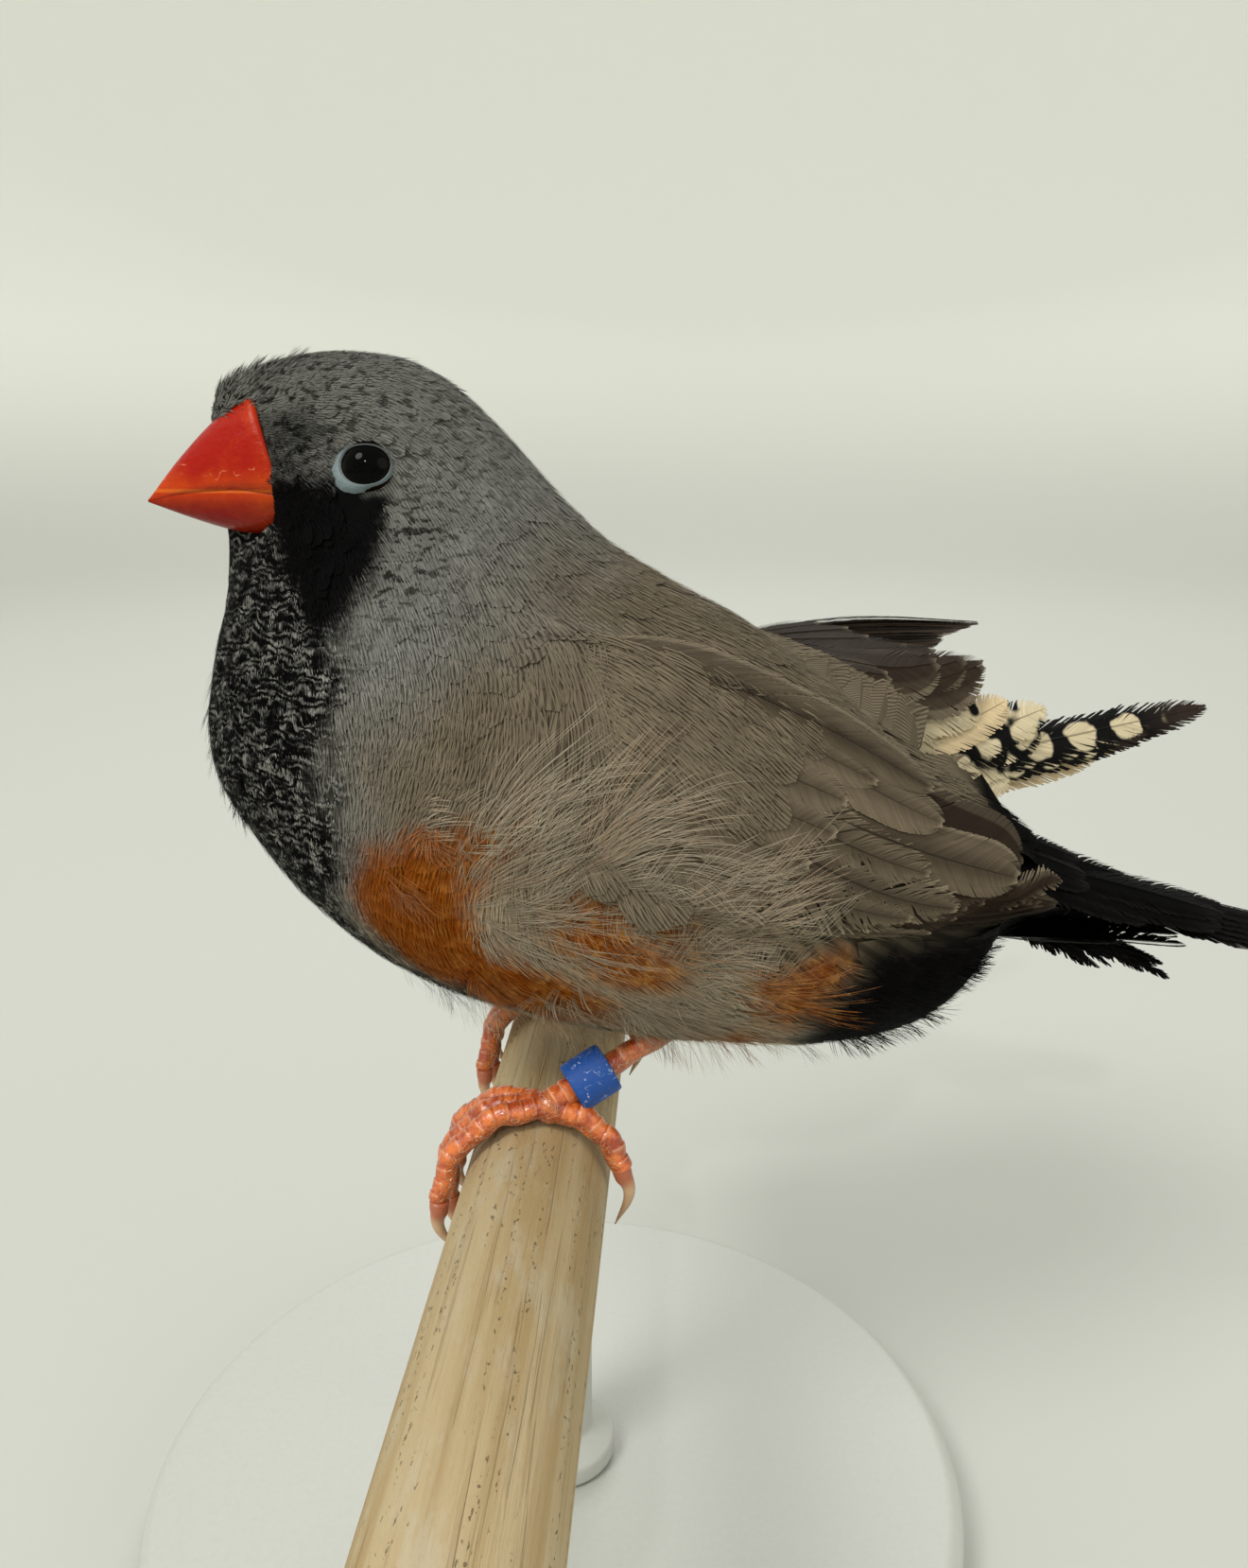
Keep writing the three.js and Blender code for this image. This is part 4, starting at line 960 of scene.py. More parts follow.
def web_side(spine, width, point, barbs, rng, side, skew, spread, fray):
    """The barbs on one side: their points, and along, across and shade for each."""
    starts = np.linspace(0.05, 0.985, barbs)
    left = 1 - starts
    ends = starts + spread * left / (left + spread) * (1 + rng.normal(0, fray, barbs))
    for gap in rng.uniform(0.35, 0.95, SPLITS):  # barbs past a split lie a little further on
        ends = ends + 0.022 * np.exp(-np.maximum(starts - gap, 0) / 0.05) * (starts > gap) * left
    reach = side * (1 + side * skew) * (1 + rng.normal(0, fray, barbs))
    s = starts[:, None] + (ends - starts)[:, None] * BARB_SHARES**1.15
    c = reach[:, None] * BARB_SHARES
    shade = rng.normal(0, 0.05, barbs)[:, None] + 0 * c
    half = width / 2 * feather_width(np.clip(s, 0, 1), point)
    points, told = [], []
    for edge, tilt in BARB_EDGES:
        at = np.clip(s + edge * ((starts[1] - starts[0]) * BARB_HALVES), 0, 1)
        place, across, out = spine(at)
        over = -CAMBER * (c * half / max(width / 2, 0.1)) ** 2 + tilt + 0.02 * side
        points.append(place + across * (c * half)[..., None] + out * over[..., None])
        told.append(np.stack([at, c, shade], -1))
    return points, told


def side_faces(barbs, side):
    size = barbs * len(BARB_SHARES)
    row = np.arange(barbs)[:, None] * len(BARB_SHARES) + np.arange(2)
    quads = np.stack([row, row + 1, row + 1 + size, row + size], -1).reshape(-1, 4)
    return quads if side > 0 else quads[:, ::-1]


def shaft_ridge(spine, width):
    """The shaft as a low ridge over the web, and along, across and shade for each of its points."""
    s = np.linspace(0, 0.97, SHAFT_STEPS)
    place, across, out = spine(s)
    thick = 0.22 * (width / 5) ** 0.5 * (1 - 0.85 * s)
    told = np.stack([s, np.zeros(SHAFT_STEPS), np.full(SHAFT_STEPS, -0.25)], -1)
    points = [place + across * (k * thick)[:, None] + out * (lift * thick + 0.02)[:, None]
              for k, lift in SHAFT_RIDGE]
    return points, [told] * len(SHAFT_RIDGE)


def web_feather(spine, width, point, barbs, rng, skew=0.0, spread=0.2, fray=0.03):
    """Points, faces and what the material is told for one feather. The spine gives a place, the direction
    across and the direction out at any share of the shaft."""
    points, told, faces, count = [], [], [], 0
    for side in (-1, 1):
        places, says = web_side(spine, width, point, barbs, rng, side, skew, spread, fray)
        points += places
        told += says
        faces.append(count + side_faces(barbs, side))
        count += sum(p.size // 3 for p in places)
    places, says = shaft_ridge(spine, width)
    faces.append(count + grid_faces(len(SHAFT_RIDGE), SHAFT_STEPS))
    points = np.concatenate([p.reshape(-1, 3) for p in points + places])
    told = np.concatenate([v.reshape(-1, 3) for v in told + says])
    return points, np.concatenate(faces), told


def join_feathers(name, made, material, replaces, slot, columns=8):
    """One piece from many feathers. Each has its own field on the map that is baked."""
    points, faces, told, kinds, uv = [], [], [], [], []
    count = 0
    rows = -(-len(made) // columns)
    for i, (p, f, t, kind) in enumerate(made):
        points.append(p)
        faces.append(f + count)
        told.append(t)
        kinds.append(np.full(len(p), kind))
        cell = np.array([(i % columns) / columns, (i // columns) / rows])
        across, along = 0.5 + 0.42 * np.clip(t[:, 1], -1, 1), 0.04 + 0.92 * t[:, 0]
        uv.append(cell + np.stack([across / columns, along / rows], -1))
        count += len(p)
    along, across, shade = np.concatenate(told).T
    return make_piece(
        name, np.concatenate(points), [np.concatenate(faces)], material, replaces, slot, smooth=False,
        uv=np.concatenate(uv), along=along, across=across, shade=shade, kind=np.concatenate(kinds),
    )

# %% [markdown]
# A worn wing is brown-grey with paler rims, and darker towards its long feathers. A finish for each row
# would do, but one number is enough: a feather's kind is 0 for a covert and 1 for a primary, and below 0
# for the pale outer edge, which is partly its own colour and partly a painted glint. Kinds above 1 and
# the higher kinds of the far wing are painted shade. Each feather is also painted darker towards its root,
# as shade under the feathers over it. The across value runs to 1 at the rim.

# %% Wing finish
WING_BROWN = colour(0x6E6250)
WING_DARK = colour(0x2A2118)
WING_RIM = colour(0x998B73)


def paint_wing(place):
    along, across, shade, kind = place.tells("along", "across", "shade", "kind")
    edge = place.maths("ABSOLUTE", across)
    rim = edge.maths("MAXIMUM", edge.step(0.9, 1.0), along.step(0.97, 1.0))
    dark = kind.step(0.0, 1.0) + 0.5 * (1 - edge.step(0.0, 0.8)) * along.step(0.2, 0.7)
    # painted shade: darker towards the root, under the feathers that overlap it
    dark = dark + 0.25 * (1 - along.step(0.3, 0.7))
    body = dark.mix(WING_BROWN, WING_DARK)
    body = (rim * (0.55 - 0.4 * kind)).mix(body, WING_RIM)
    lit = (0.82 + 0.3 * place.noise(0.4, 2)) * (1 + 1.6 * shade)
    return {"Base Color": body.times(lit), "Roughness": 0.5 + 0.15 * place.noise(2.0, 2)}


wing_plumage = new_finish("wing_plumage", paint_wing, Specular_IOR_Level=0.05)

# %% [markdown]
# Feathers lie on the sheet in tiers, from the primaries up to the coverts, as they do on the bird. A row of
# alike feathers is spread evenly between its first and its last. The near wing's large inner feathers lie
# each in their own way, so they are placed one by one. Each shaft starts sunk under the tier above and
# rises to its own height.

# %% Wing feathers
def sheet_spine(surface, side, root, tip, lift, sunk=-1.2):
    """A feather's shaft over a wing's sheet, from its root under the coverts to its tip."""
    def spine(s):
        along = root[0] + (tip[0] - root[0]) * s
        across = root[1] + (tip[1] - root[1]) * smoothstep(s, 0, 1)
        height = sunk + (lift - sunk) * smoothstep(s, 0, 0.45)
        place = surface(along, across, height)
        outward = unit(surface(along, across + 0.02) - surface(along, across - 0.02))
        on = unit(surface(along + 0.02, across) - surface(along - 0.02, across))
        return place, outward, unit(np.cross(on, outward)) * side

    return spine


def one(root, tip, width, point, lift, barbs, kind, fray=0.012):
    """A row of the table below for a single feather."""
    return 1, root, root, tip, tip, width, point, (lift, lift), barbs, kind, fray


TIERS = {  # count, roots from and to, tips from and to, width, point, lifts, barbs, kind, fray
    # the far wing's kinds are higher than the near wing's: painted shade on the far wing
    "right": [
        (9, (0.14, 0.45), (0.3, 0.25), (1.0, 0.72), (0.88, -0.2), 5.0, 0.5, (0.0, 0.2), 120, 1.25, 0.03),
        (7, (0.2, 0.35), (0.38, -0.35), (0.74, 0.62), (0.97, -0.7), 7.4, 0.8, (0.3, 0.5), 90, 0.85, 0.02),
        (3, (0.28, -0.1), (0.22, -0.5), (0.88, -0.42), (0.66, -0.7), 8.0, 0.78, (0.6, 0.7), 90, 0.7, 0.02),
        (8, (0.16, 0.5), (0.2, -0.56), (0.52, 0.84), (0.6, -0.6), 6.4, 0.6, (0.9, 0.8), 60, 0.5, 0.02),
        (7, (0.1, 0.46), (0.12, -0.5), (0.38, 0.8), (0.44, -0.76), 6.0, 0.55, (1.2, 1.0), 50, 0.4, 0.02),
    ],
    "left": [
        (9, (0.14, 0.45), (0.3, 0.25), (1.0, 0.86), (0.87, 0.2), 5.0, 0.5, (0.0, 0.2), 120, 0.95, 0.02),
        # the pale outer edge: partly the feather's own colour, partly a painted glint along the primaries
        one((0.4, 0.98), (0.74, 1.04), 1.3, 0.5, 0.6, 60, -0.6, 0.06),  # the pale outer edge
        (5, (0.2, 0.5), (0.3, 0.0), (0.78, 0.8), (0.84, 0.05), 5.6, 0.75, (0.3, 0.5), 110, 0.7, 0.02),
        one((0.8, 0.75), (0.985, -0.45), 2.4, 0.4, 0.7, 50, 0.6, 0.2),  # a worn tip that curls up
        # kind 1.1 paints this tertial darker than a primary: painted shade on the wing's upper side
        one((0.25, -0.6), (0.862, -0.36), 7.0, 0.82, 0.62, 150, 1.1),
        one((0.25, -0.1), (0.855, -0.12), 5.6, 0.8, 0.85, 150, 0.25),
        one((0.2, 0.2), (0.749, 0.58), 5.2, 0.45, 0.95, 100, 0.3, 0.14),
        one((0.2, 0.45), (0.675, 0.78), 5.0, 0.4, 1.0, 100, 0.2, 0.16),
        one((0.2, 0.0), (0.66, 0.15), 5.4, 0.5, 1.0, 100, 0.2, 0.12),
        one((0.2, -0.55), (0.639, -0.53), 4.6, 0.78, 1.15, 110, 0.2),
        one((0.04, -0.85), (0.6, -0.9), 4.8, 0.6, 1.15, 100, 0.42),
        one((0.15, -0.6), (0.509, -0.61), 3.6, 0.7, 1.3, 80, 0.15),
        (4, (0.12, 0.5), (0.15, -0.25), (0.44, 0.8), (0.49, -0.3), 5.4, 0.6, (1.1, 1.3), 70, 0.12, 0.03),
    ],
}


def make_wing(name, side, seed):
    rng = np.random.default_rng(seed)
    wing = WINGS[side]
    surface = wing_surface(wing)
    made = []
    for count, root_a, root_b, tip_a, tip_b, width, point, lifts, barbs, kind, fray in TIERS[side]:
        for share in np.linspace(0, 1, count):
            root, tip = between(root_a, root_b, share), between(tip_a, tip_b, share)
            if count > 1:
                tip = tip + rng.normal(0, (0.008, 0.02))
            lift = between(*lifts, share) + 0.03 * rng.normal()
            spine = sheet_spine(surface, wing["side"], root, tip, lift)
            width_here = width * rng.uniform(0.97, 1.03)
            feather = web_feather(spine, width_here, point, barbs, rng, -0.25 * kind, fray=fray)
            made.append((*feather, kind + rng.normal(0, 0.06)))
    return join_feathers(name + "_feathers", made, wing_plumage, (name,), "brown_plumage")


make_wing("wing_left", "left", 31)
make_wing("wing_right", "right", 32)

# %% [markdown]
# The wrist and the small coverts don't show as feathers with a web. More tiers would look like scales
# there. They are the same loose, hair-like fans as the mantle, so they are grown on the wing's sheet by the
# same function, and hide the front of the wing.

# %% Small coverts
def wing_unwrap(along, across):
    return np.stack([0.05 + 0.9 * np.asarray(along), 0.5 + 0.4 * np.asarray(across)], -1)


COVERT_LIE = 0.45
WING_CHORD, WING_LENGTH, LANE_PITCH = 15.0, 45.0, 0.27


def wing_lane(along, across):
    x, y = along * WING_LENGTH, across * WING_CHORD / 2
    return (y * math.cos(COVERT_LIE) - x * math.sin(COVERT_LIE)) / LANE_PITCH


def make_small_coverts(name, wing, count, reach, seed):
    flat = wing_surface(wing)
    along, across = spread_roots(flat, (0.0, 0.6), (-1.0, 1.0), count)
    rng = np.random.default_rng(seed)
    keep = along < reach + 0.06 * rng.uniform(-1, 1, count) - 0.04 * across
    along, across = along[keep], across[keep]
    marks = {"brown": smoothstep(along, -0.15, 0.08)}

    def covered(a, b, grow=0.0):
        return flat(a, b, np.asarray(grow) + covert_lift(a, b))

    return grow_feathers(name, covered, along, across, length=6.2, width=1.8, barbs=11, depth=0.55, rise=0.05,
                         lie=COVERT_LIE, seed=seed, marks=marks, outward=wing["side"], slot="brown_plumage",
                         uv_of=wing_unwrap, barb_width=0.13, rows=4, tones=(0.88, 0.95, 1.0),
                         lane_of=wing_lane, sense=1)


make_small_coverts("small_coverts_left", WINGS["left"], 330, 0.3, 41)
make_small_coverts("small_coverts_right", WINGS["right"], 330, 0.28, 42)

# %% [markdown]
# Over the flank and the wing's lower edge hang long, loose plumes, whose barbs don't hold together.
# Scattered at random they would look like fur. They fall in fans, so each fan is given by where it starts
# and where it ends on the unwrapped body, and its plumes are scattered about that line. They have no web,
# more rows to a barb, and a bend.

# %% Loose plumes
PLUMES = [  # root and tip, each along and round; half width, bend, count and share of chestnut
    (0.637, 104, 0.627, 78, 2.0, -2.0, 5, 0.0), (0.655, 100, 0.638, 72, 2.2, -1.8, 5, 0.0),
    (0.673, 97, 0.660, 70, 2.4, -1.6, 5, 0.0), (0.677, 94, 0.690, 72, 2.4, -1.8, 5, 0.0),
    (0.678, 92, 0.720, 75, 2.4, -2.0, 5, 0.0), (0.711, 90, 0.737, 72, 2.2, -1.6, 3, 0.0),
    (0.727, 96, 0.750, 76, 2.2, -1.4, 4, 0.0), (0.645, 112, 0.688, 101, 1.6, 1.6, 6, 0.0),
    (0.647, 117, 0.686, 123, 1.4, 0.8, 4, 0.0), (0.729, 120, 0.785, 125, 2.4, 0.8, 9, 0.0),
    (0.731, 122, 0.774, 140, 2.2, 0.8, 9, 0.0), (0.7, 126, 0.75, 142, 2.0, 0.8, 6, 0.0),
    (0.735, 108, 0.772, 102, 2.0, -0.8, 4, 0.0),
    (0.735, 102, 0.772, 88, 2.2, -1.0, 4, 0.0), (0.605, 111, 0.614, 90, 1.4, -1.0, 3, 0.0),
    (0.69, 99, 0.735, 94, 1.6, 0.6, 4, 0.0), (0.707, 95, 0.745, 83, 2.0, -0.8, 4, 0.0),
    (0.768, 112, 0.8, 106, 1.8, -0.4, 5, 0.8), (0.77, 112, 0.812, 112, 1.8, 0.5, 5, 0.85),
    (0.61, 118, 0.64, 124, 1.5, 0.5, 4, 0.8), (0.67, 130, 0.715, 138, 1.6, 0.5, 5, 0.9),
    (0.688, 106, 0.73, 110, 1.6, 0.5, 6, 0.8), (0.6, 106, 0.622, 110, 1.4, 0.6, 4, 0.8),
    (0.728, 112, 0.704, 84, 2.2, -1.4, 5, 0.0), (0.752, 108, 0.73, 82, 2.2, -1.4, 5, 0.0),
    (0.775, 104, 0.757, 80, 2.0, -1.2, 5, 0.0), (0.649, 112, 0.705, 110, 1.8, 0.6, 5, 0.0),
    (0.673, 110, 0.731, 112, 1.8, 0.6, 2, 0.0), (0.645, 108, 0.626, 86, 2.2, -1.8, 5, 0.0),
    (0.66, 114, 0.655, 94, 2.2, -1.2, 4, 0.0), (0.685, 110, 0.68, 92, 2.2, -1.2, 3, 0.0),
    (0.741, 104, 0.747, 79, 2.2, -1.2, 5, 0.0), (0.729, 100, 0.77, 98, 1.8, 0.5, 4, 0.0),
]


def lie_towards(surface, a, b, to_a, to_b):
    """The angle and distance from places on a surface to others, as grow_feathers takes them."""
    start, along, around = surface_frame(surface, a, b)
    way = surface(to_a, to_b) - start
    ahead = unit(along)
    down = unit(around - ahead * np.sum(around * ahead, -1, keepdims=True)) * np.sign(b)[:, None]
    return np.arctan2(np.sum(way * down, -1), np.sum(way * ahead, -1)), np.linalg.norm(way, axis=-1)


def grow_plumes(name, side, seed):
    rng = np.random.default_rng(seed)
    rows = np.repeat(np.array(PLUMES), [int(plume[6]) for plume in PLUMES], axis=0)
    t, degrees, to_t, to_degrees, width, bend, _, chestnut = rows.T
    count = len(rows)
    t = t + rng.normal(0, 0.006, count)
    turn = side * np.radians(degrees + rng.normal(0, 4, count))
    to_t = to_t + rng.normal(0, 0.012, count)
    to_turn = side * np.radians(to_degrees + rng.normal(0, 6, count))
    lie, length = lie_towards(clothed_point, t, turn, to_t, to_turn)
    chestnut = np.clip(chestnut + rng.normal(0, 0.08, count), 0, 1)
    marks = {"chestnut": chestnut, "cream": 0.12, "brown": 0.6}
    rise = rng.uniform(0.3, 0.9, count)
    bend = bend * rng.uniform(2.0, 5.0, count)
    return grow_feathers(name, clothed_point, t, turn, length, width, barbs=24, depth=0.5, rise=rise, lie=lie,
                         seed=seed, marks=marks, barb_width=0.05, web=False, loose=0.16, rows=9, fan=0.85,
                         bend=bend, fuzz=0.15, slot="grey_plumage", tones=(1.3, 1.1, 1.6))


grow_plumes("plumes_left", -1, 43)
grow_plumes("plumes_right", 1, 44)

# %% [markdown]
# Tail feathers spread from one root in pairs, each pair a little lower and further out. They could be
# placed each by hand, but a closed tail follows this rule closely, so a loop makes them. They are flight
# feathers like those of the wing, in plain black.

# %% Tail
UP = np.array([0.0, 0.0, 1.0])
TAIL_ROOT = np.array([41.5, 0, 21.4 + PERCH_HEIGHT])
TAIL_TIP = np.array([73.0, 0, 14.3 + PERCH_HEIGHT])
TAIL_FEATHER_WIDTH = 4.8
TAIL_FAN = math.radians(3.2)
TAIL_PAIRS = 6


def bowed_spine(root, tip, out, bow, twist=0.0):
    """A shaft from root to tip that bows outwards, its flat side facing out."""
    root, tip = np.asarray(root, float), np.asarray(tip, float)
    along = unit(tip - root)
    across = unit(np.cross(out, along))
    up = unit(np.cross(along, across))
    cosine, sine = math.cos(twist), math.sin(twist)
    across, up = across * cosine + up * sine, up * cosine - across * sine

    def spine(s):
        s = np.asarray(s, float)
        place = root + (tip - root) * s[..., None] + up * (bow * np.sin(math.pi * s))[..., None]
        return place, np.broadcast_to(across, place.shape), np.broadcast_to(up, place.shape)

    return spine


DARK_FEATHER = colour(0x030202)
DARK_RIM = colour(0x191614)


def paint_dark(place):
    along, across, shade = place.tells("along", "across", "shade")
    rim = place.maths("ABSOLUTE", across).step(0.75, 1.0)
    body = (rim * 0.5 + 0.5 * along.step(0.8, 1.0)).mix(DARK_FEATHER, DARK_RIM)
    return {"Base Color": body.times(1 + 2.0 * shade), "Roughness": 0.42 + 0.2 * place.noise(2.0, 2)}


dark_plumage = new_finish("dark_plumage", paint_dark, Specular_IOR_Level=0.04)


def make_tail(seed=51):
    rng = np.random.default_rng(seed)
    made = []
    for pair in range(TAIL_PAIRS):
        share = pair / (TAIL_PAIRS - 1)
        for side in (-1, 1):
            turn = side * TAIL_FAN * share
            along = TAIL_TIP - TAIL_ROOT
            swung = np.array([along[0] * math.cos(turn), along[0] * math.sin(turn), along[2]])
            lift = 0.9 - 0.42 * pair
            root = TAIL_ROOT + (0, side * 0.5 * share, lift)
            tip = TAIL_ROOT + swung * (1 - 0.07 * share**2) + (0, side * 1.6 * share, lift * 0.8)
            spine = bowed_spine(root, tip, (0, 0, 1), 0.5)
            made.append((*web_feather(spine, TAIL_FEATHER_WIDTH, 0.72, 100, rng, 0.15 * side), 1.0))
    return join_feathers("tail_feathers", made, dark_plumage, ("tail",), "dark_plumage")


make_tail()

# %% [markdown]
# The coverts over and under the tail are shorter feathers of the same make, in rows that overlap like
# tiles. On this bird the far upper coverts stand away from the tail and show their cream spots. The spots
# could be pieces of their own, but they are part of the webs, so the finish draws them along each feather.

# %% Coverts over and under the tail
COVERT_ROWS = {
    "uppertail_coverts_left": {
        "out": (0.3, -0.4, 1), "bow": 0.3,
        "rows": [  # count, width, kinds, roots from and to, tips from and to
            (3, 4.4, (0, 0), (40, -4.2, 24.0), (40, -2.2, 24.8), (62, -4.6, 17.0), (63.5, -1.6, 18.0)),
            (5, 4.2, (0, 0), (38.5, -5.4, 24.2), (38.5, -1.8, 26.4), (54, -5.6, 18.6), (55.5, -1.2, 20.4)),
            (5, 4.2, (0, 0), (36.5, -5.6, 25.6), (36.5, -1.8, 27.8), (48, -5.8, 21.2), (49, -1.2, 23.0)),
        ],
    },
    "uppertail_coverts_right": {
        "out": (-0.15, -0.8, 0.6), "bow": 0.35,
        "rows": [
            (2, 4.0, (1, 1), (36.5, 6.4, 28.4), (36.8, 5.6, 29.2), (56, 10.2, 30.4), (59, 10.6, 31.2)),
            (3, 4.4, (0, 0), (36.5, 5.2, 29.6), (37, 4.6, 31.0), (62, 10.4, 32.6), (68.5, 12.0, 34.6)),
            (4, 4.6, (0.5, 0.5), (36, 4.6, 29.6), (36, 4.0, 31.8), (45, 6.2, 29.8), (49.5, 7.8, 35.8)),
            (3, 4.4, (0.5, 1), (34.5, 4.2, 30.2), (34.5, 3.6, 32.4), (41.5, 5.2, 30.4), (45, 6.8, 36.6)),
            (4, 4.4, (0.5, 0.5), (31, 4.0, 31.6), (30.5, 3.2, 34.8), (39.5, 5.6, 31.6), (41.5, 6.2, 36.4)),
        ],
    },
    "undertail_coverts": {
        "out": (-0.2, 0, -1), "bow": 0.1,
        "rows": [
            (5, 4.2, (0, 0), (41, -2.8, 17.6), (41, 2.8, 17.6), (60, -2.8, 14.9), (60, 2.8, 14.9)),
            (6, 4.0, (0, 0), (39.5, -3.8, 17.2), (39.5, 3.8, 17.2), (52.5, -4.0, 15.6), (52.5, 4.0, 15.6)),
        ],
    },
}
SPOT_CREAM = colour(0xC4B695)
BLADE_BROWN = colour(0x3A2E24)
OVALS = 5.8  # how many of them there is room for along a blade


def paint_spotted(place):
    """Kind 0 is a long dark blade with a row of cream ovals, 0.5 is cream with black blotches, 1 is cream."""
    along, across, shade, kind = place.tells("along", "across", "shade", "kind")
    near = place.maths("PINGPONG", along * OVALS + 0.5 * (place.noise(0.4, 2) - 0.5), 0.5) * 2
    side = across * 0.9 + 0.1
    oval = 1.15 * near * near + side * side + 0.4 * along
    spot = (1 - oval.step(0.58, 0.76)) * (1 - along.step(0.8, 0.84)) * along.step(0.05, 0.15)
    blade = spot.mix(DARK_FEATHER, SPOT_CREAM)
    blade = (along.step(0.7, 0.95) * 0.6).mix(blade, BLADE_BROWN)
    blotch = place.stretched(1, 1, 0.8).noise(0.42, 1, 0.4).step(0.5, 0.58)
    body = kind.step(0.2, 0.3).mix(blade, blotch.mix(SPOT_CREAM, DARK_FEATHER))
    body = kind.step(0.7, 0.8).mix(body, CREAM)
    return {"Base Color": body.times(1 + 1.5 * shade), "Roughness": 0.5 + 0.2 * place.noise(2.0, 2)}


spotted_plumage = new_finish("spotted_plumage", paint_spotted, Specular_IOR_Level=0.1)


def make_coverts(name, spec, material, seed):
    rng = np.random.default_rng(seed)
    made = []
    for count, width, kinds, *ends in spec["rows"]:
        root_a, root_b, tip_a, tip_b = (np.array(p, float) + PERCH_AXIS for p in ends)
        for share in np.linspace(0, 1, count):
            root = between(root_a, root_b, share)
            tip = between(tip_a, tip_b, share) + rng.normal(0, 0.25, 3)
            spine = bowed_spine(root, tip, spec["out"], spec["bow"] + 0.1 * rng.normal())
            feather = web_feather(spine, width * rng.uniform(0.9, 1.05), 0.58, 70, rng, fray=0.06)
            made.append((*feather, rng.choice(kinds) if 0.15 < share < 1 else kinds[share > 0.5]))
    slot = "barred_plumage" if material is spotted_plumage else "dark_plumage"
    return join_feathers(name + "_feathers", made, material, (name,), slot)


def make_fringe(count=46, seed=66):
    """The ragged ends that hang from the tail's underside."""
    rng = np.random.default_rng(seed)
    made = []
    for share in rng.uniform(0, 1, count):
        root = np.array([42 + 11 * share, rng.uniform(-3.2, 3.2), 17.2 - 2.4 * share + PERCH_HEIGHT])
        tip = root + (rng.uniform(3, 6), rng.normal(0, 0.7), -rng.uniform(1.8, 4.6) * (1 - 0.3 * share))
        spine = bowed_spine(root, tip, (0, -1, 0.4), 0.4, rng.normal(0, 0.5))
        made.append((*web_feather(spine, 1.1, 0.3, 22, rng, spread=0.35, fray=0.15), 0.0))
    return join_feathers("tail_fringe", made, dark_plumage, (), "dark_plumage")


make_fringe()
for seed, (name, spec) in enumerate(COVERT_ROWS.items(), 61):
    make_coverts(name, spec, spotted_plumage if name.endswith("right") else dark_plumage, seed)

# %% [markdown]
# The bill is two shells of horn over bone, waxy and smooth. Subdividing the solid would keep its corners,
# so both halves are lofted anew from the same lines with many more rings. The upper half overhangs the
# lower one.

# %% Bill
BILL_X = (-20.6, -31.1)  # from inside the face to the tip
BILL_LINES = {
    "ridge": (64.3, 63.3, 61.6, 59.1, 56.0),
    "mouth": (56.6, 56.9, 56.8, 56.5, 55.95),
    "keel": (52.7, 53.2, 53.9, 54.8, 55.8),
}
BILL_RED = colour(0x9C1404)
BILL_ORANGE = colour(0xB83C08)
BILL_EDGE = colour(0xCC641C)
BILL_SCRATCH = colour(0xF0A070)


def paint_bill(place):
    mouth = place.maths("ABSOLUTE", place.part("Z") - (MOUTH_HEIGHT + PERCH_HEIGHT))
    base = place.part("X").step(-24.0, -21.4)
    patch = place.noise(0.35, 3, 0.6).step(0.35, 0.7)
    warm = (1 - mouth.step(0.2, 2.2)) * 0.75 + 0.45 * base + 0.5 * (patch - 0.5)
    body = warm.maths("MINIMUM", warm.maths("MAXIMUM", warm, 0.0), 1.0).mix(BILL_RED, BILL_ORANGE)
    # painted shade: below the mouth line the bill is drawn darker
    body = body.times(1 - 0.35 * place.part("Z").step(56.6 + PERCH_HEIGHT, 55.6 + PERCH_HEIGHT))
    body = ((1 - mouth.step(0.05, 0.22)) * 0.7).mix(body, BILL_EDGE)
    wander = place.noise(0.55, 3, 0.6) - 0.5
    line = place.maths("ABSOLUTE", place.part("Z") - (58.3 + PERCH_HEIGHT) - 5.0 * wander)
    scratch = (1 - line.step(0.0, 0.09)) * place.noise(0.8, 2).step(0.45, 0.6) * 0.7
    growth = place.stretched(0.5, 1, 1).noise(1.4, 4, 0.6)
    return {
        "Base Color": scratch.mix(body, BILL_SCRATCH),
        "Roughness": 0.18 + 0.2 * place.noise(1.2, 3) + 0.15 * scratch,
        "Normal": place.bump(growth, 0.12),
    }


bill_horn = new_finish("bill_horn", paint_bill, Specular_IOR_Level=0.15)


def loft(rings):
    """Points and faces of a closed solid through rings of points, each end closed on its middle."""
    rings = np.asarray(rings, float)
    count, around = rings.shape[:2]
    points = np.concatenate([rings.reshape(-1, 3), rings[:1].mean(1), rings[-1:].mean(1)])
    k = np.arange(around)
    ahead = (k + 1) % around
    last = (count - 1) * around
    start = np.stack([ahead, k, np.full(around, count * around)], -1)
    end = np.stack([last + k, last + ahead, np.full(around, count * around + 1)], -1)
    return points, [grid_faces(count, around, wrap=True), start, end]


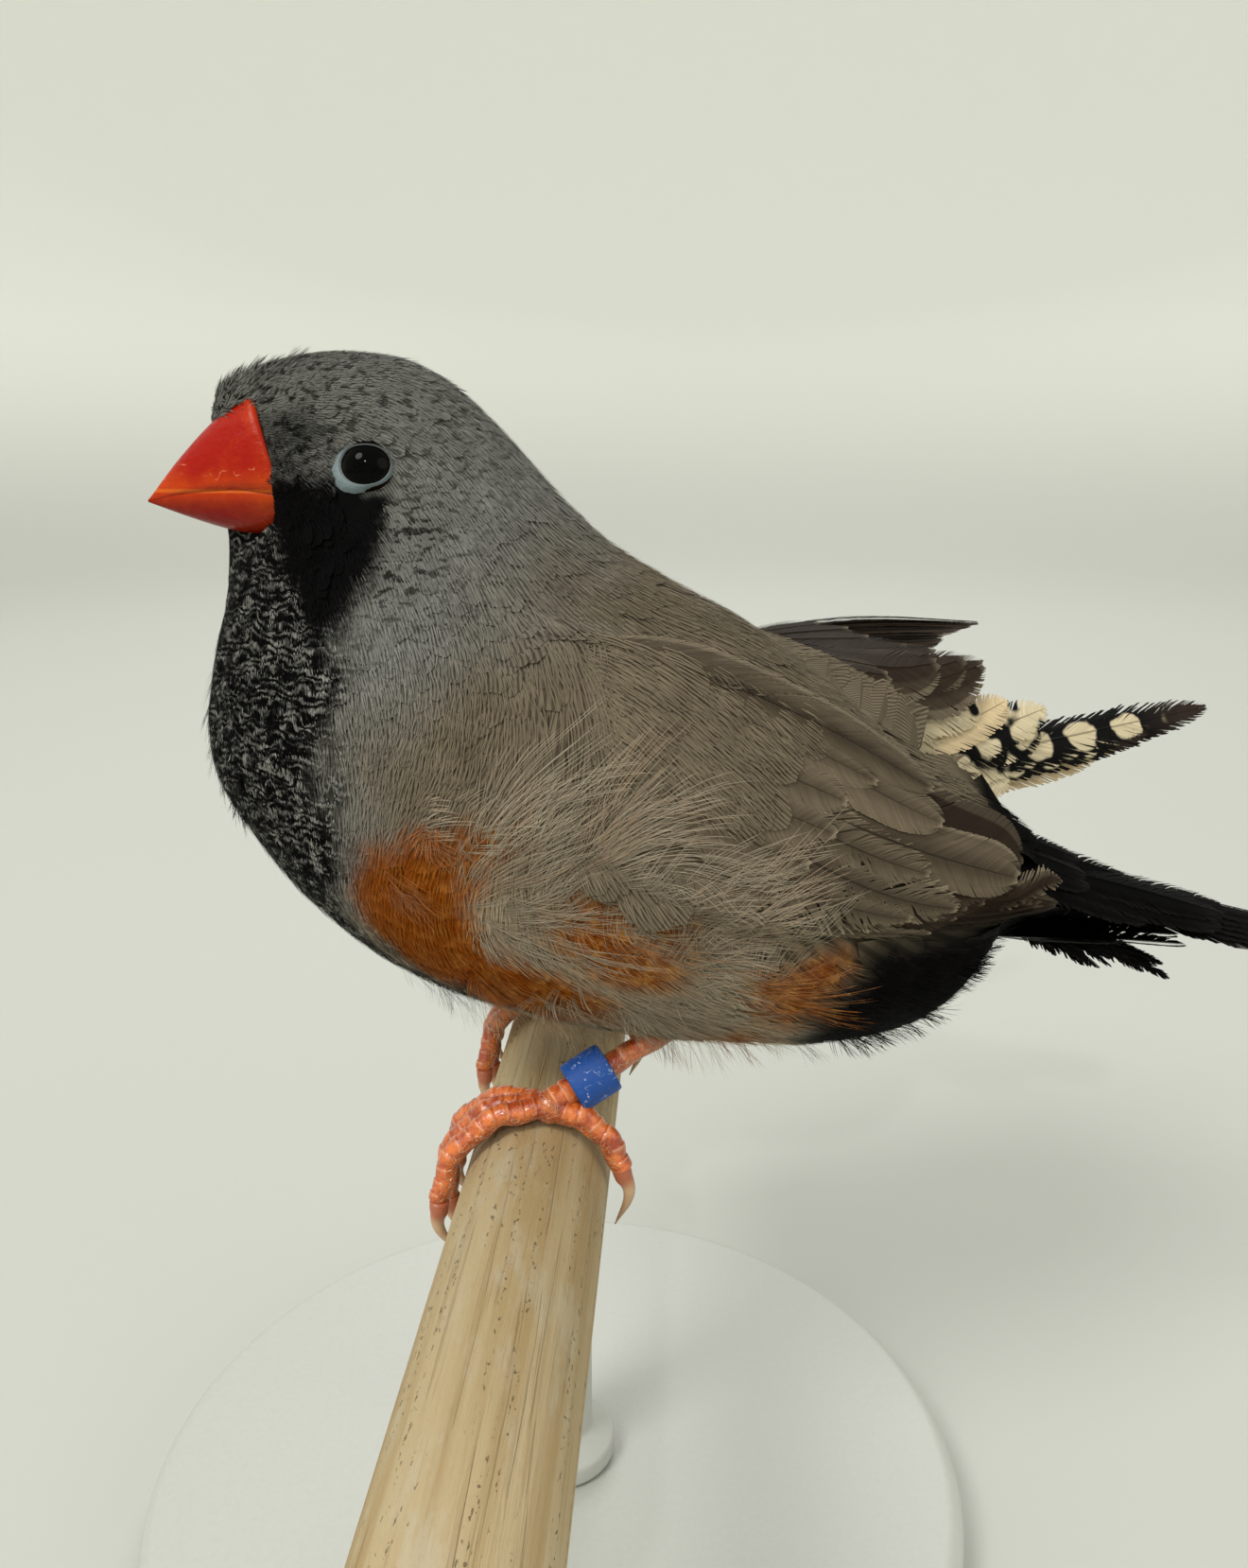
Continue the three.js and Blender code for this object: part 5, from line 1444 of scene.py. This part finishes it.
def make_mandible(name, line, facing, rings=40, arc=36):
    share = np.linspace(-0.04, 1, rings)
    x = BILL_X[0] + (BILL_X[1] - BILL_X[0]) * share
    share = np.maximum(share, 0)
    half = BILL_HALF_WIDTH * np.maximum(0.05, 1 - share**1.25) * (1 if facing > 0 else 0.975)
    mouth = through(BILL_LINES["mouth"], share) - facing * 0.06
    edge = through(BILL_LINES[line], share)
    turn = np.linspace(0, math.pi, arc)
    across = np.sign(np.cos(turn)) * np.abs(np.cos(turn)) ** 0.85
    rise = np.sin(turn) ** 0.85
    low = np.linspace(-1, 1, 8)[1:-1]  # the flat underside, hollowed a little
    made = []
    for i in range(rings):
        y = np.concatenate([half[i] * across, half[i] * low])
        z = mouth[i] + (edge[i] - mouth[i]) * np.concatenate([rise, 0.05 * (1 - low**2)])
        to_face = np.interp(z, *np.array(BILL_BASE).T) - BILL_X[0]  # so that its end follows the face
        made.append(np.stack([x[i] + to_face * (1 - share[i]) ** 3, y, z + PERCH_HEIGHT], -1))
    points, faces = loft(made)
    faces = turned_over(faces) if facing < 0 else faces
    return make_piece(name + "_horn", points, faces, bill_horn, (name,), "bill")


make_mandible("bill_upper", "ridge", 1)
make_mandible("bill_lower", "keel", -1)

# %% [markdown]
# The eye is a wet, almost black ball in a ring of bare bluish skin. The ring could be painted on the head,
# but it is what gives the look, so it is a piece of its own: a soft lip that follows the ball, broader in
# front and below, and wrinkled towards its rim.

# %% Eyes and lids
EYE_R = 2.4
EYE_OPENING = 1.8
LID_REACH = 0.34
LID_PALE = colour(0x6C7A7C)
LID_DARK = colour(0x2C2D2D)


def paint_eye(place):
    rim = place.told("polar")
    body = rim.step(0.55, 0.78).mix(colour(0x020202), colour(0x120A06))
    return {"Base Color": rim.step(0.84, 0.95).mix(body, colour(0x20262A))}


eye_wet = new_finish("eye_wet", paint_eye, Roughness=0.03, Specular_IOR_Level=0.055)


def paint_lid(place):
    out, top = place.tells("out", "top")
    grain = place.noise(3.0, 3, 0.6)
    pale = (1 - 0.75 * top) * (1 - 0.55 * out.step(0.75, 1.0)) * (0.55 + 0.45 * out.step(0.0, 0.2))
    return {
        "Base Color": pale.mix(LID_DARK, LID_PALE).times(0.8 + 0.4 * grain),
        "Roughness": 0.45 + 0.2 * grain,
        "Normal": place.bump(grain, 0.1),
    }


lid_skin = new_finish("lid_skin", paint_lid)


def eye_directions(side):
    """The way the eye faces, the way to its front corner and the way to its top."""
    facing = unit(np.array([-0.15, side, 0.3]))
    front = unit(np.cross(facing, (0.0, 0.0, 1.0)) * -side)
    front = front * (-1 if front[0] > 0 else 1)
    up = np.cross(front, facing)
    return facing, front, up * (1 if up[2] > 0 else -1)


def make_ball(name, middle, facing, front, up, rings=40, around=64):
    polar, turn = np.meshgrid(np.linspace(0.001, math.pi - 0.001, rings), full_turn(around), indexing="ij")
    ring = swing(turn, front, up)
    ball = middle + EYE_R * (facing * np.cos(polar)[..., None] + ring * np.sin(polar)[..., None])
    points, faces = loft(ball)
    faces = turned_over(faces) if np.dot(np.cross(front, up), facing) > 0 else faces
    spread = np.append(np.sin(polar).ravel() * np.where(np.cos(polar).ravel() > 0, 1, 2), [0, 2])
    make_piece(name + "_ball", points, faces, eye_wet, (name,), "eye", polar=spread)


def lid_height(out, turn, opening, distance):
    """How far the lid stands out from the eye's middle: a lip on the ball, then a slope down to the face."""
    brim = np.sqrt(EYE_R**2 - opening**2)
    on_ball = np.sqrt(np.maximum(EYE_R**2 - np.minimum(distance, EYE_R * 0.99) ** 2, 0))
    lip = 0.16 * np.sin(math.pi * np.clip(out + 0.25, 0, 1)) + 0.03
    wrinkle = 0.025 * np.sin(26 * turn + 3 * np.sin(3 * turn)) * smoothstep(out, 0.1, 0.6)
    outside = brim + (0.84 - brim) * np.clip(out, 0, 1) ** 1.4 + lip + wrinkle
    return np.where(out < 0, on_ball - 0.1, outside) - 0.25 * smoothstep(out, 0.8, 1.0)


def make_lid(name, middle, facing, front, up, rows=14, columns=96):
    out, turn = np.meshgrid(np.linspace(-0.25, 1, rows), full_turn(columns), indexing="ij")
    fore, high = np.cos(turn), np.sin(turn)
    reach = LID_REACH + 1.05 * np.clip(0.9 * fore - 0.4 * high, 0, 1) ** 1.6 + 0.1 * np.clip(high, 0, 1)
    opening = EYE_OPENING * (1 + 0.04 * fore**2 - np.where(high > 0, 0.27, 0.12) * high**2)
    distance = opening + reach * out
    height = lid_height(out, turn, opening, distance)
    lid = middle + facing * height[..., None] + swing(turn, front, up) * distance[..., None]
    faces = [grid_faces(rows, columns, wrap=True)]
    faces = faces if np.dot(np.cross(front, up), facing) > 0 else turned_over(faces)
    top = smoothstep(high - 0.3 * fore, -0.2, 0.6)
    make_piece(name + "_lid", lid.reshape(-1, 3), faces, lid_skin, (), "eye",
               out=np.clip(out, 0, 1).ravel(), top=top.ravel())


def make_eye(name, side):
    middle, directions = EYE_AT * (1, side, 1), eye_directions(side)
    make_ball(name, middle, *directions)
    make_lid(name, middle, *directions)


make_eye("eye_left", -1)
make_eye("eye_right", 1)

# %% [markdown]
# Legs and toes are bare and covered in scutes, horny plates that overlap like roof tiles down the front.
# Bump in the finish would be lost at the outline. Each plate is a step in the radius of a tube along the
# toe, and the skin between them is darker.

# %% Legs, toes and claws
PERCH_TURN = math.radians(10.3)
PERCH_R = 6.0
GAP = 0.3
TOE_R = 1.1
TARSUS_R = 1.05
BALL_R = 1.75
FOOT_AT = math.radians(-9)
BALL_OUT = PERCH_R + GAP + BALL_R - 0.1
TOE_OUT = PERCH_R + GAP + TOE_R
CLAW_R = TOE_R * 0.66
FRONT_CLAW, HIND_CLAW = 4.2, 4.6
FOOT_SCUTES = {"front": 12, "hind": 7, "ankle": 4, "leg": 9}
HIND_THICK = 1.05
PERCH_ALONG = np.array([math.sin(PERCH_TURN), math.cos(PERCH_TURN), 0])
PERCH_FRONT = np.array([-math.cos(PERCH_TURN), math.sin(PERCH_TURN), 0])
FEET = {
    "left": {"s": -12.4, "heel": (14.5, -9.2, 15.5), "drift": (4.6, 0.4, -3.6), "back": -0.8},
    "right": {"s": 12.0, "heel": (16.5, 9.4, 15.8), "drift": (-4.6, -0.4, 3.6), "back": 0.6},
}
TOES = [("inner", 92, 0.92), ("middle", 104, 1.0), ("outer", 88, 0.92)]  # reach in degrees, thickness
HIND_REACH = math.radians(-74)
LEG_ORANGE = colour(0xDA7230)
LEG_RED = colour(0x9E3C16)
LEG_PALE = colour(0xE3B48C)


def paint_leg(place):
    scute, top = place.tells("scute", "top")
    grain, patch = place.noise(2.4, 3, 0.6), place.noise(0.7, 3, 0.6)
    body = patch.step(0.35, 0.65).mix(LEG_ORANGE, LEG_RED)
    scale = place.node("ShaderNodeTexVoronoi", {"Vector": place, "Scale": 2.2}, feature="DISTANCE_TO_EDGE")
    seam = (1 - top) * (1 - scale.step(0.02, 0.12))
    body = (0.5 * seam).mix(body, LEG_PALE)
    body = (top * scute.step(0.7, 0.98) * (0.1 + 0.55 * grain)).mix(body, LEG_PALE)
    body = (top * (1 - scute.step(0.02, 0.16)) * 0.8).mix(body, LEG_RED)
    return {
        "Base Color": body.times(0.8 + 0.4 * grain),
        "Roughness": 0.14 + 0.25 * grain,
        "Normal": place.bump(grain * 0.8 - seam, 0.14),
    }


leg_skin = new_finish("leg_skin", paint_leg, Specular_IOR_Level=0.5, Coat_Weight=0.5, Coat_Roughness=0.12)


def round_perch(s, turn, out):
    """A point round the dowel: s along it, turn from its top to its front, out from its axis."""
    s, turn, out = (np.asarray(v, float)[..., None] for v in (s, turn, out))
    return PERCH_AXIS + PERCH_ALONG * s + PERCH_FRONT * out * np.sin(turn) + UP * out * np.cos(turn)


def tube_rings(path, radii, up, around=24):
    """Rings about a path. Each starts on the side that up points to, so a top and an underside are known."""
    along = unit(np.gradient(path, axis=0))
    u = unit(up - along * np.sum(up * along, -1, keepdims=True))
    round_way = swing(full_turn(around), u[:, None], np.cross(along, u)[:, None])
    return path[:, None] + np.broadcast_to(radii, (len(path), around))[..., None] * round_way


def scuted_tube(path, radius, scutes, up, shrink=1.0, around=24):
    """A tube with overlapping plates along its top, each lower at its front, and a knobbly underside."""
    share = np.linspace(0, 1, len(path))
    phase = ((share * scutes) % 1)[:, None]
    turn = full_turn(around)
    top = smoothstep(np.cos(turn), -0.35, 0.35)[None, :]
    plate = top * (0.07 - 0.14 * phase**1.5)
    knob = (1 - top) * 0.08 * np.cos(2 * math.pi * share[:, None] * scutes / 2.5)
    radii = radius * (1 - (1 - shrink) * share)[:, None] * (1 + plate + knob) * (1 - 0.06 * np.sin(turn) ** 2)
    ends = np.sqrt(np.clip(np.minimum(share, 1 - share) * len(path) / 5, 0.03, 1))[:, None]
    points, faces = loft(tube_rings(path, radii * ends, up, around))
    told = [np.append(np.broadcast_to(v, radii.shape).ravel(), [v.mean()] * 2) for v in (1 - phase, top)]
    return points, turned_over(faces), told


def ball_shape(middle, radius, rows=24, around=32):
    polar, turn = np.meshgrid(np.linspace(0.01, math.pi - 0.01, rows), full_turn(around), indexing="ij")
    xyz = np.stack([np.sin(polar) * np.cos(turn), np.sin(polar) * np.sin(turn), np.cos(polar)], -1)
    points, faces = loft(middle + radius * xyz)
    return points, turned_over(faces), [np.full(len(points), 0.5), np.zeros(len(points))]


def join_shapes(name, shapes, material, replaces, slot):
    """One piece from several shapes, each with its points, its faces and what the material is told."""
    points, faces, told, count = [], [], [], 0
    for p, f, t in shapes:
        points.append(p)
        faces += [part + count for part in f]
        told.append(np.stack(t))
        count += len(p)
    scute, top = np.concatenate(told, 1)
    return make_piece(name, np.concatenate(points), faces, material, replaces, slot, scute=scute, top=top)


CLAW_DARK = colour(0x6B4A32)
CLAW_PALE = colour(0xD8B48C)


def paint_claw(place):
    tip = place.told("scute")
    grain = place.noise(1.8, 3, 0.6)
    body = (0.15 + 0.5 * tip + 0.3 * grain).mix(CLAW_DARK, CLAW_PALE)
    return {"Base Color": (0.8 * tip.step(0.75, 1.0)).mix(body, LEG_RED), "Roughness": 0.25 + 0.2 * grain}


claw_horn = new_finish("claw_horn", paint_claw, Specular_IOR_Level=0.5)


def perch_out(turn):
    """The direction away from the dowel's axis, at a turn round it."""
    return swing(np.asarray(turn, float), UP, PERCH_FRONT)


def toe_shape(s, reach, drift, thick, scutes):
    t = np.linspace(0, 1, 110)
    turn = FOOT_AT + (reach - FOOT_AT) * t
    knuckle = 0.14 * np.cos(t * math.pi * 6)
    path = round_perch(s + drift * t**0.8, turn, TOE_OUT + 0.12 + 0.25 * np.sin(math.pi * t) + knuckle)
    return scuted_tube(path, TOE_R * thick, scutes, perch_out(turn), 0.8)


def make_claw(name, s, reach, length, around=16):
    t = np.linspace(-0.22, 1, 30)
    turn = reach + math.copysign(1, reach) * ((GAP + 0.1) / TOE_OUT + length * t / TOE_OUT)
    at = np.maximum(t, 0)
    arch = 0.6 * np.sin(math.pi * np.minimum(1, at * 1.15)) * (1 - at) - 0.35 * at
    path = round_perch(s + 0 * t, turn, TOE_OUT + 0.15 + arch)
    radii = np.maximum(0.06, CLAW_R * (1 - 0.94 * at) * np.interp(t, [-0.1, 0.15], [1.1, 0.95]))[:, None]
    points, faces = loft(tube_rings(path, radii, perch_out(turn), around))
    told = np.append(np.repeat(1 - at, around), [1.0, 0.0])
    join_shapes(name + "_horn", [(points, turned_over(faces), [told, told])], claw_horn, (name,), "claw")


def leg_ends(foot):
    """Where the leg meets the toes, and its heel."""
    return round_perch(foot["s"], FOOT_AT, BALL_OUT), np.array(foot["heel"]) + PERCH_AXIS


def make_foot(side, foot):
    joint, heel = leg_ends(foot)
    s, back = foot["s"], foot["back"]
    shapes = [ball_shape(joint - UP * 0.3, 1.45),
              toe_shape(s, HIND_REACH, back, HIND_THICK, FOOT_SCUTES["hind"])]
    make_claw(f"claw_{side}_hind", s + back, HIND_REACH, HIND_CLAW)
    for (toe, reach, thick), drift in zip(TOES, foot["drift"]):
        reach = math.radians(reach)
        shapes.append(toe_shape(s, reach, drift, thick, FOOT_SCUTES["front"]))
        make_claw(f"claw_{side}_{toe}", s + drift * 1.02, reach, FRONT_CLAW)
    path = joint + unit(heel - joint) * np.linspace(-0.6, 3.2, 40)[:, None]
    shapes.append(scuted_tube(path, TARSUS_R * 1.12, FOOT_SCUTES["ankle"], -PERCH_FRONT + UP))
    join_shapes(f"foot_{side}_skin", shapes, leg_skin, (f"foot_{side}",), "leg")


def make_leg(side, foot):
    joint, heel = leg_ends(foot)
    path = joint + (heel - joint) * np.linspace(0.1, 0.97, 120)[:, None]
    shape = scuted_tube(path, TARSUS_R * 0.94, FOOT_SCUTES["leg"], PERCH_FRONT + UP)
    join_shapes(f"leg_{side}_skin", [shape], leg_skin, (f"leg_{side}",), "leg")


for side, foot in FEET.items():
    make_foot(side, foot)
    make_leg(side, foot)

# %% [markdown]
# The leg ring is a short tube of blue plastic with soft edges, scuffed by years on the leg. A tube with
# bevelled corners would do, but a section with rounded corners, turned about the leg, gives the same in one
# step.

# %% Leg ring
RING_R, RING_WALL, RING_HIGH, RING_ALONG = 1.8, 0.35, 1.8, 3.9
RING_AROUND, RING_CORNERS = 72, 24
CORNER_SHARPNESS = 0.35


def paint_ring(place):
    scuff = place.stretched(1, 1, 3).noise(2.4, 4, 0.7)
    body = (scuff.step(0.55, 0.8) * 0.35).mix(colour(0x1F4A92), colour(0x7FA0D0))
    scratch = 1 - place.maths("ABSOLUTE", place.noise(0.9, 2, 0.6) - 0.5).step(0.004, 0.012)
    body = (0.6 * scratch * place.noise(1.3, 1).step(0.5, 0.6)).mix(body, colour(0xC4D2E4))
    return {"Base Color": body, "Roughness": 0.36 + 0.25 * scuff, "Normal": place.bump(scuff, 0.05)}


def squarer(value):
    """A sine or cosine drawn towards -1 and 1, which makes a circle a square with rounded corners."""
    return np.sign(value) * np.abs(value) ** CORNER_SHARPNESS


def make_ring():
    joint, heel = leg_ends(FEET["left"])
    along = unit(heel - joint)
    turn = full_turn(RING_CORNERS)
    section = np.stack([RING_R + RING_WALL * squarer(np.cos(turn)), RING_HIGH * squarer(np.sin(turn))], -1)
    u = unit(np.cross(along, UP))
    ring = swing(full_turn(RING_AROUND), u, np.cross(along, u))
    points = joint + along * RING_ALONG + ring[:, None] * section[None, :, :1] + along * section[None, :, 1:]
    count = RING_AROUND * RING_CORNERS
    faces = grid_faces(RING_AROUND + 1, RING_CORNERS, wrap=True)
    faces = np.where(faces >= count, faces - count, faces)  # the last row of faces closes on the first ring
    finish = new_finish("ring_plastic", paint_ring, Specular_IOR_Level=0.25)
    faces = turned_over([faces])
    return make_piece("leg_ring_band", points.reshape(-1, 3), faces, finish, ("leg_ring",), "ring")


make_ring()

# %% [markdown]
# The dowel is sawn pine: pale, with brown growth lines that run the whole way along it and small dark
# specks. A cylinder would have sharp ends, so it is turned from a section, like on a lathe. Its finish is
# worked out along the dowel's own axis, which a Mapping node turns to.

# %% Perch
PERCH_NEAR, PERCH_FAR = 58.0, 34.0
ON_AXIS = 0.01  # the radius at which a turned section starts and ends
PINE = colour(0xB5A17A)
PINE_DARK = colour(0xA48B5F)
PINE_LINE = colour(0x8E6F45)
PINE_GREY = colour(0xBBB49E)
PINE_PORE = colour(0x4A3822)


def paint_pine(place):
    turned = place.node("ShaderNodeMapping", {"Vector": place, "Rotation": (0, 0, PERCH_TURN)})
    grain = turned.stretched(1, 0.03, 1)
    fine = grain.noise(2.6, 4, 0.7)
    line = grain.noise(1.6, 2, 0.5).step(0.56, 0.66)
    body = grain.noise(0.45, 3, 0.6).step(0.35, 0.65).mix(PINE, PINE_DARK)
    body = (0.22 * line + 0.4 * (fine - 0.5)).mix(body, PINE_LINE)
    dirt = turned.stretched(1, 0.3, 1).noise(0.35, 4, 0.65).step(0.5, 0.7)
    body = (0.4 * dirt).mix(body, PINE_GREY)
    row = grain.noise(1.2, 1).step(0.54, 0.62)  # the pores stand in rows along the growth lines
    pore = turned.stretched(1, 0.4, 1).noise(3.6, 2, 0.6).step(0.6, 0.68) * (0.06 + 0.94 * row)
    body = (0.65 * pore).mix(body, PINE_PORE)
    rough = fine + 0.6 * line - 0.8 * pore
    return {"Base Color": body, "Roughness": 0.62 + 0.25 * fine, "Normal": place.bump(rough, 0.14)}


def lathe(section, around=128):
    """Points and faces of a solid turned from a section of radius and height, from its axis back to it."""
    turn = full_turn(around)
    section = np.asarray(section, float)
    radius, height = section[:, :1], np.broadcast_to(section[:, 1:], (len(section), around))
    points, faces = loft(np.stack([radius * np.cos(turn), radius * np.sin(turn), height], -1))
    return points, turned_over(faces)


def rounded(section, radius=0.6, steps=5):
    """The section with each of its corners rounded."""
    section = [np.array(p, float) for p in section]
    made = [section[0]]
    for a, b, c in zip(section, section[1:], section[2:]):
        cut = min(radius, 0.45 * np.linalg.norm(a - b), 0.45 * np.linalg.norm(c - b))
        start, end = b + unit(a - b) * cut, b + unit(c - b) * cut
        for k in np.linspace(0, 1, steps):
            made.append((1 - k) ** 2 * start + 2 * k * (1 - k) * b + k**2 * end)
    return made + [section[-1]]


def make_perch():
    section = [(ON_AXIS, -PERCH_NEAR), (PERCH_R, -PERCH_NEAR), (PERCH_R, -20), (PERCH_R, 0),
               (PERCH_R, PERCH_FAR), (ON_AXIS, PERCH_FAR)]
    points, faces = lathe(rounded(section))
    x, y, s = points.T
    placed = PERCH_AXIS + PERCH_ALONG * s[:, None] + PERCH_FRONT * x[:, None] + UP * y[:, None]
    return make_piece("perch_dowel", placed, faces, new_finish("pine", paint_pine), ("perch",), "wood")


make_perch()

# %% [markdown]
# A museum holds such a model on a plain stand. A clamp or a block would hide more of the bird, so it is a
# round foot with one rod, both turned. Its enamel is pale, so that the stand keeps in the background.

# %% Stand
BASE_R, BASE_THICK, ROD_R = 40.0, 6.0, 3.5
BASE_LOW_EDGE, BASE_TOP_EDGE = 0.8, 1.2
FOOT_COLLAR, HEAD_COLLAR = 2.2, 1.2  # how far the rod's collars stand out


def paint_enamel(place):
    grain = place.noise(1.5, 4, 0.6)
    return {"Base Color": grain.mix(colour(0xB2B3AB), colour(0xBCBDB5)), "Roughness": 0.38 + 0.15 * grain,
            "Normal": place.bump(grain, 0.04)}


enamel = new_finish("stand_enamel", paint_enamel)


def make_stand():
    base = [(ON_AXIS, 0), (BASE_R - BASE_LOW_EDGE, 0), (BASE_R, BASE_LOW_EDGE),
            (BASE_R, BASE_THICK - BASE_TOP_EDGE), (BASE_R - BASE_TOP_EDGE, BASE_THICK), (ON_AXIS, BASE_THICK)]
    points, faces = lathe(rounded(base, 0.5), 160)
    make_piece("stand_base_enamel", points, faces, enamel, ("stand_base",), "stand")
    foot_r, head_r, top = ROD_R + FOOT_COLLAR, ROD_R + HEAD_COLLAR, PERCH_HEIGHT - PERCH_R
    rod = [(ON_AXIS, BASE_THICK + GAP), (foot_r, BASE_THICK + GAP), (foot_r, BASE_THICK + 2.2),
           (ROD_R, BASE_THICK + 3.6), (ROD_R, top - 3), (head_r, top - 2.5), (head_r, top - GAP),
           (ON_AXIS, top - GAP)]
    points, faces = lathe(rounded(rod, 0.4), 96)
    make_piece("stand_rod_enamel", points, faces, enamel, ("stand_rod",), "stand")


make_stand()

# %% [markdown]
# The studio is a pale floor that sweeps up into a wall all round, so that no horizon shows from any side.
# Bulbs would throw hard shadows, so three large soft lamps light the bird, and the world adds light from
# every direction. A fourth lamp is small, because it makes the highlight in the eye.

# %% Floor and light
SWEEP = [  # distance from the bird and height of the floor, in metres
    (0.0, 0.0), (0.5, 0.0), (0.9, 0.0), (1.15, 0.02), (1.35, 0.09), (1.48, 0.22), (1.53, 0.4), (1.55, 0.66),
]
MM_IN_METRE = 1000
LOOK_AT = (0.0, 0.0, 0.08)
LAMPS = [  # place and size in metres, power in watts
    ("key", (-0.6, -0.5, 0.95), 0.45, 7.5),
    ("fill", (0.9, -0.7, 0.6), 0.8, 2),
    ("rim", (0.2, 0.9, 0.9), 0.8, 5),
    ("catchlight", (-0.2, -0.75, 0.6), 0.03, 1.3),
]


def paint_floor(place):
    # painted light: the sweep gets paler as it rises into the wall, which the lamps light less
    return {"Base Color": place.part("Z").step(-60, 260).mix(colour(0xB4B5AD), colour(0xECEDE4))}


def make_stage(rings=60, around=96):
    turn = full_turn(around)
    radius, height = through(SWEEP, np.linspace(0, 1, rings)).T[..., None] * MM_IN_METRE
    height = np.broadcast_to(np.maximum(height, 0), (rings, around))
    points = np.stack([radius * np.cos(turn), radius * np.sin(turn), height], -1)
    mesh = bpy.data.meshes.new("floor")
    mesh.from_pydata((points.reshape(-1, 3) * MM).tolist(), [], grid_faces(rings, around, wrap=True).tolist())
    mesh.shade_smooth()
    mesh.materials.append(new_finish("floor_paint", paint_floor, Roughness=0.8))
    floor = bpy.data.objects.new("floor", mesh)
    bpy.context.scene.collection.objects.link(floor)


def add_light(name, at, size, power):
    data = bpy.data.lights.new(name, "AREA")
    data.shape = "DISK"
    data.size = size
    data.energy = power
    lamp = bpy.data.objects.new(name, data)
    lamp.location = at
    lamp.rotation_euler = (Vector(LOOK_AT) - Vector(at)).to_track_quat("-Z", "Y").to_euler()
    bpy.context.scene.collection.objects.link(lamp)


make_stage()
for lamp in LAMPS:
    add_light(*lamp)
world = bpy.data.worlds.new("world")
bpy.context.scene.world = world
world.use_nodes = True
world.node_tree.nodes["Background"].inputs["Color"].default_value = colour(0xDCDDD8)
world.node_tree.nodes["Background"].inputs["Strength"].default_value = 0.95
bpy.context.scene.view_settings.view_transform = "Standard"
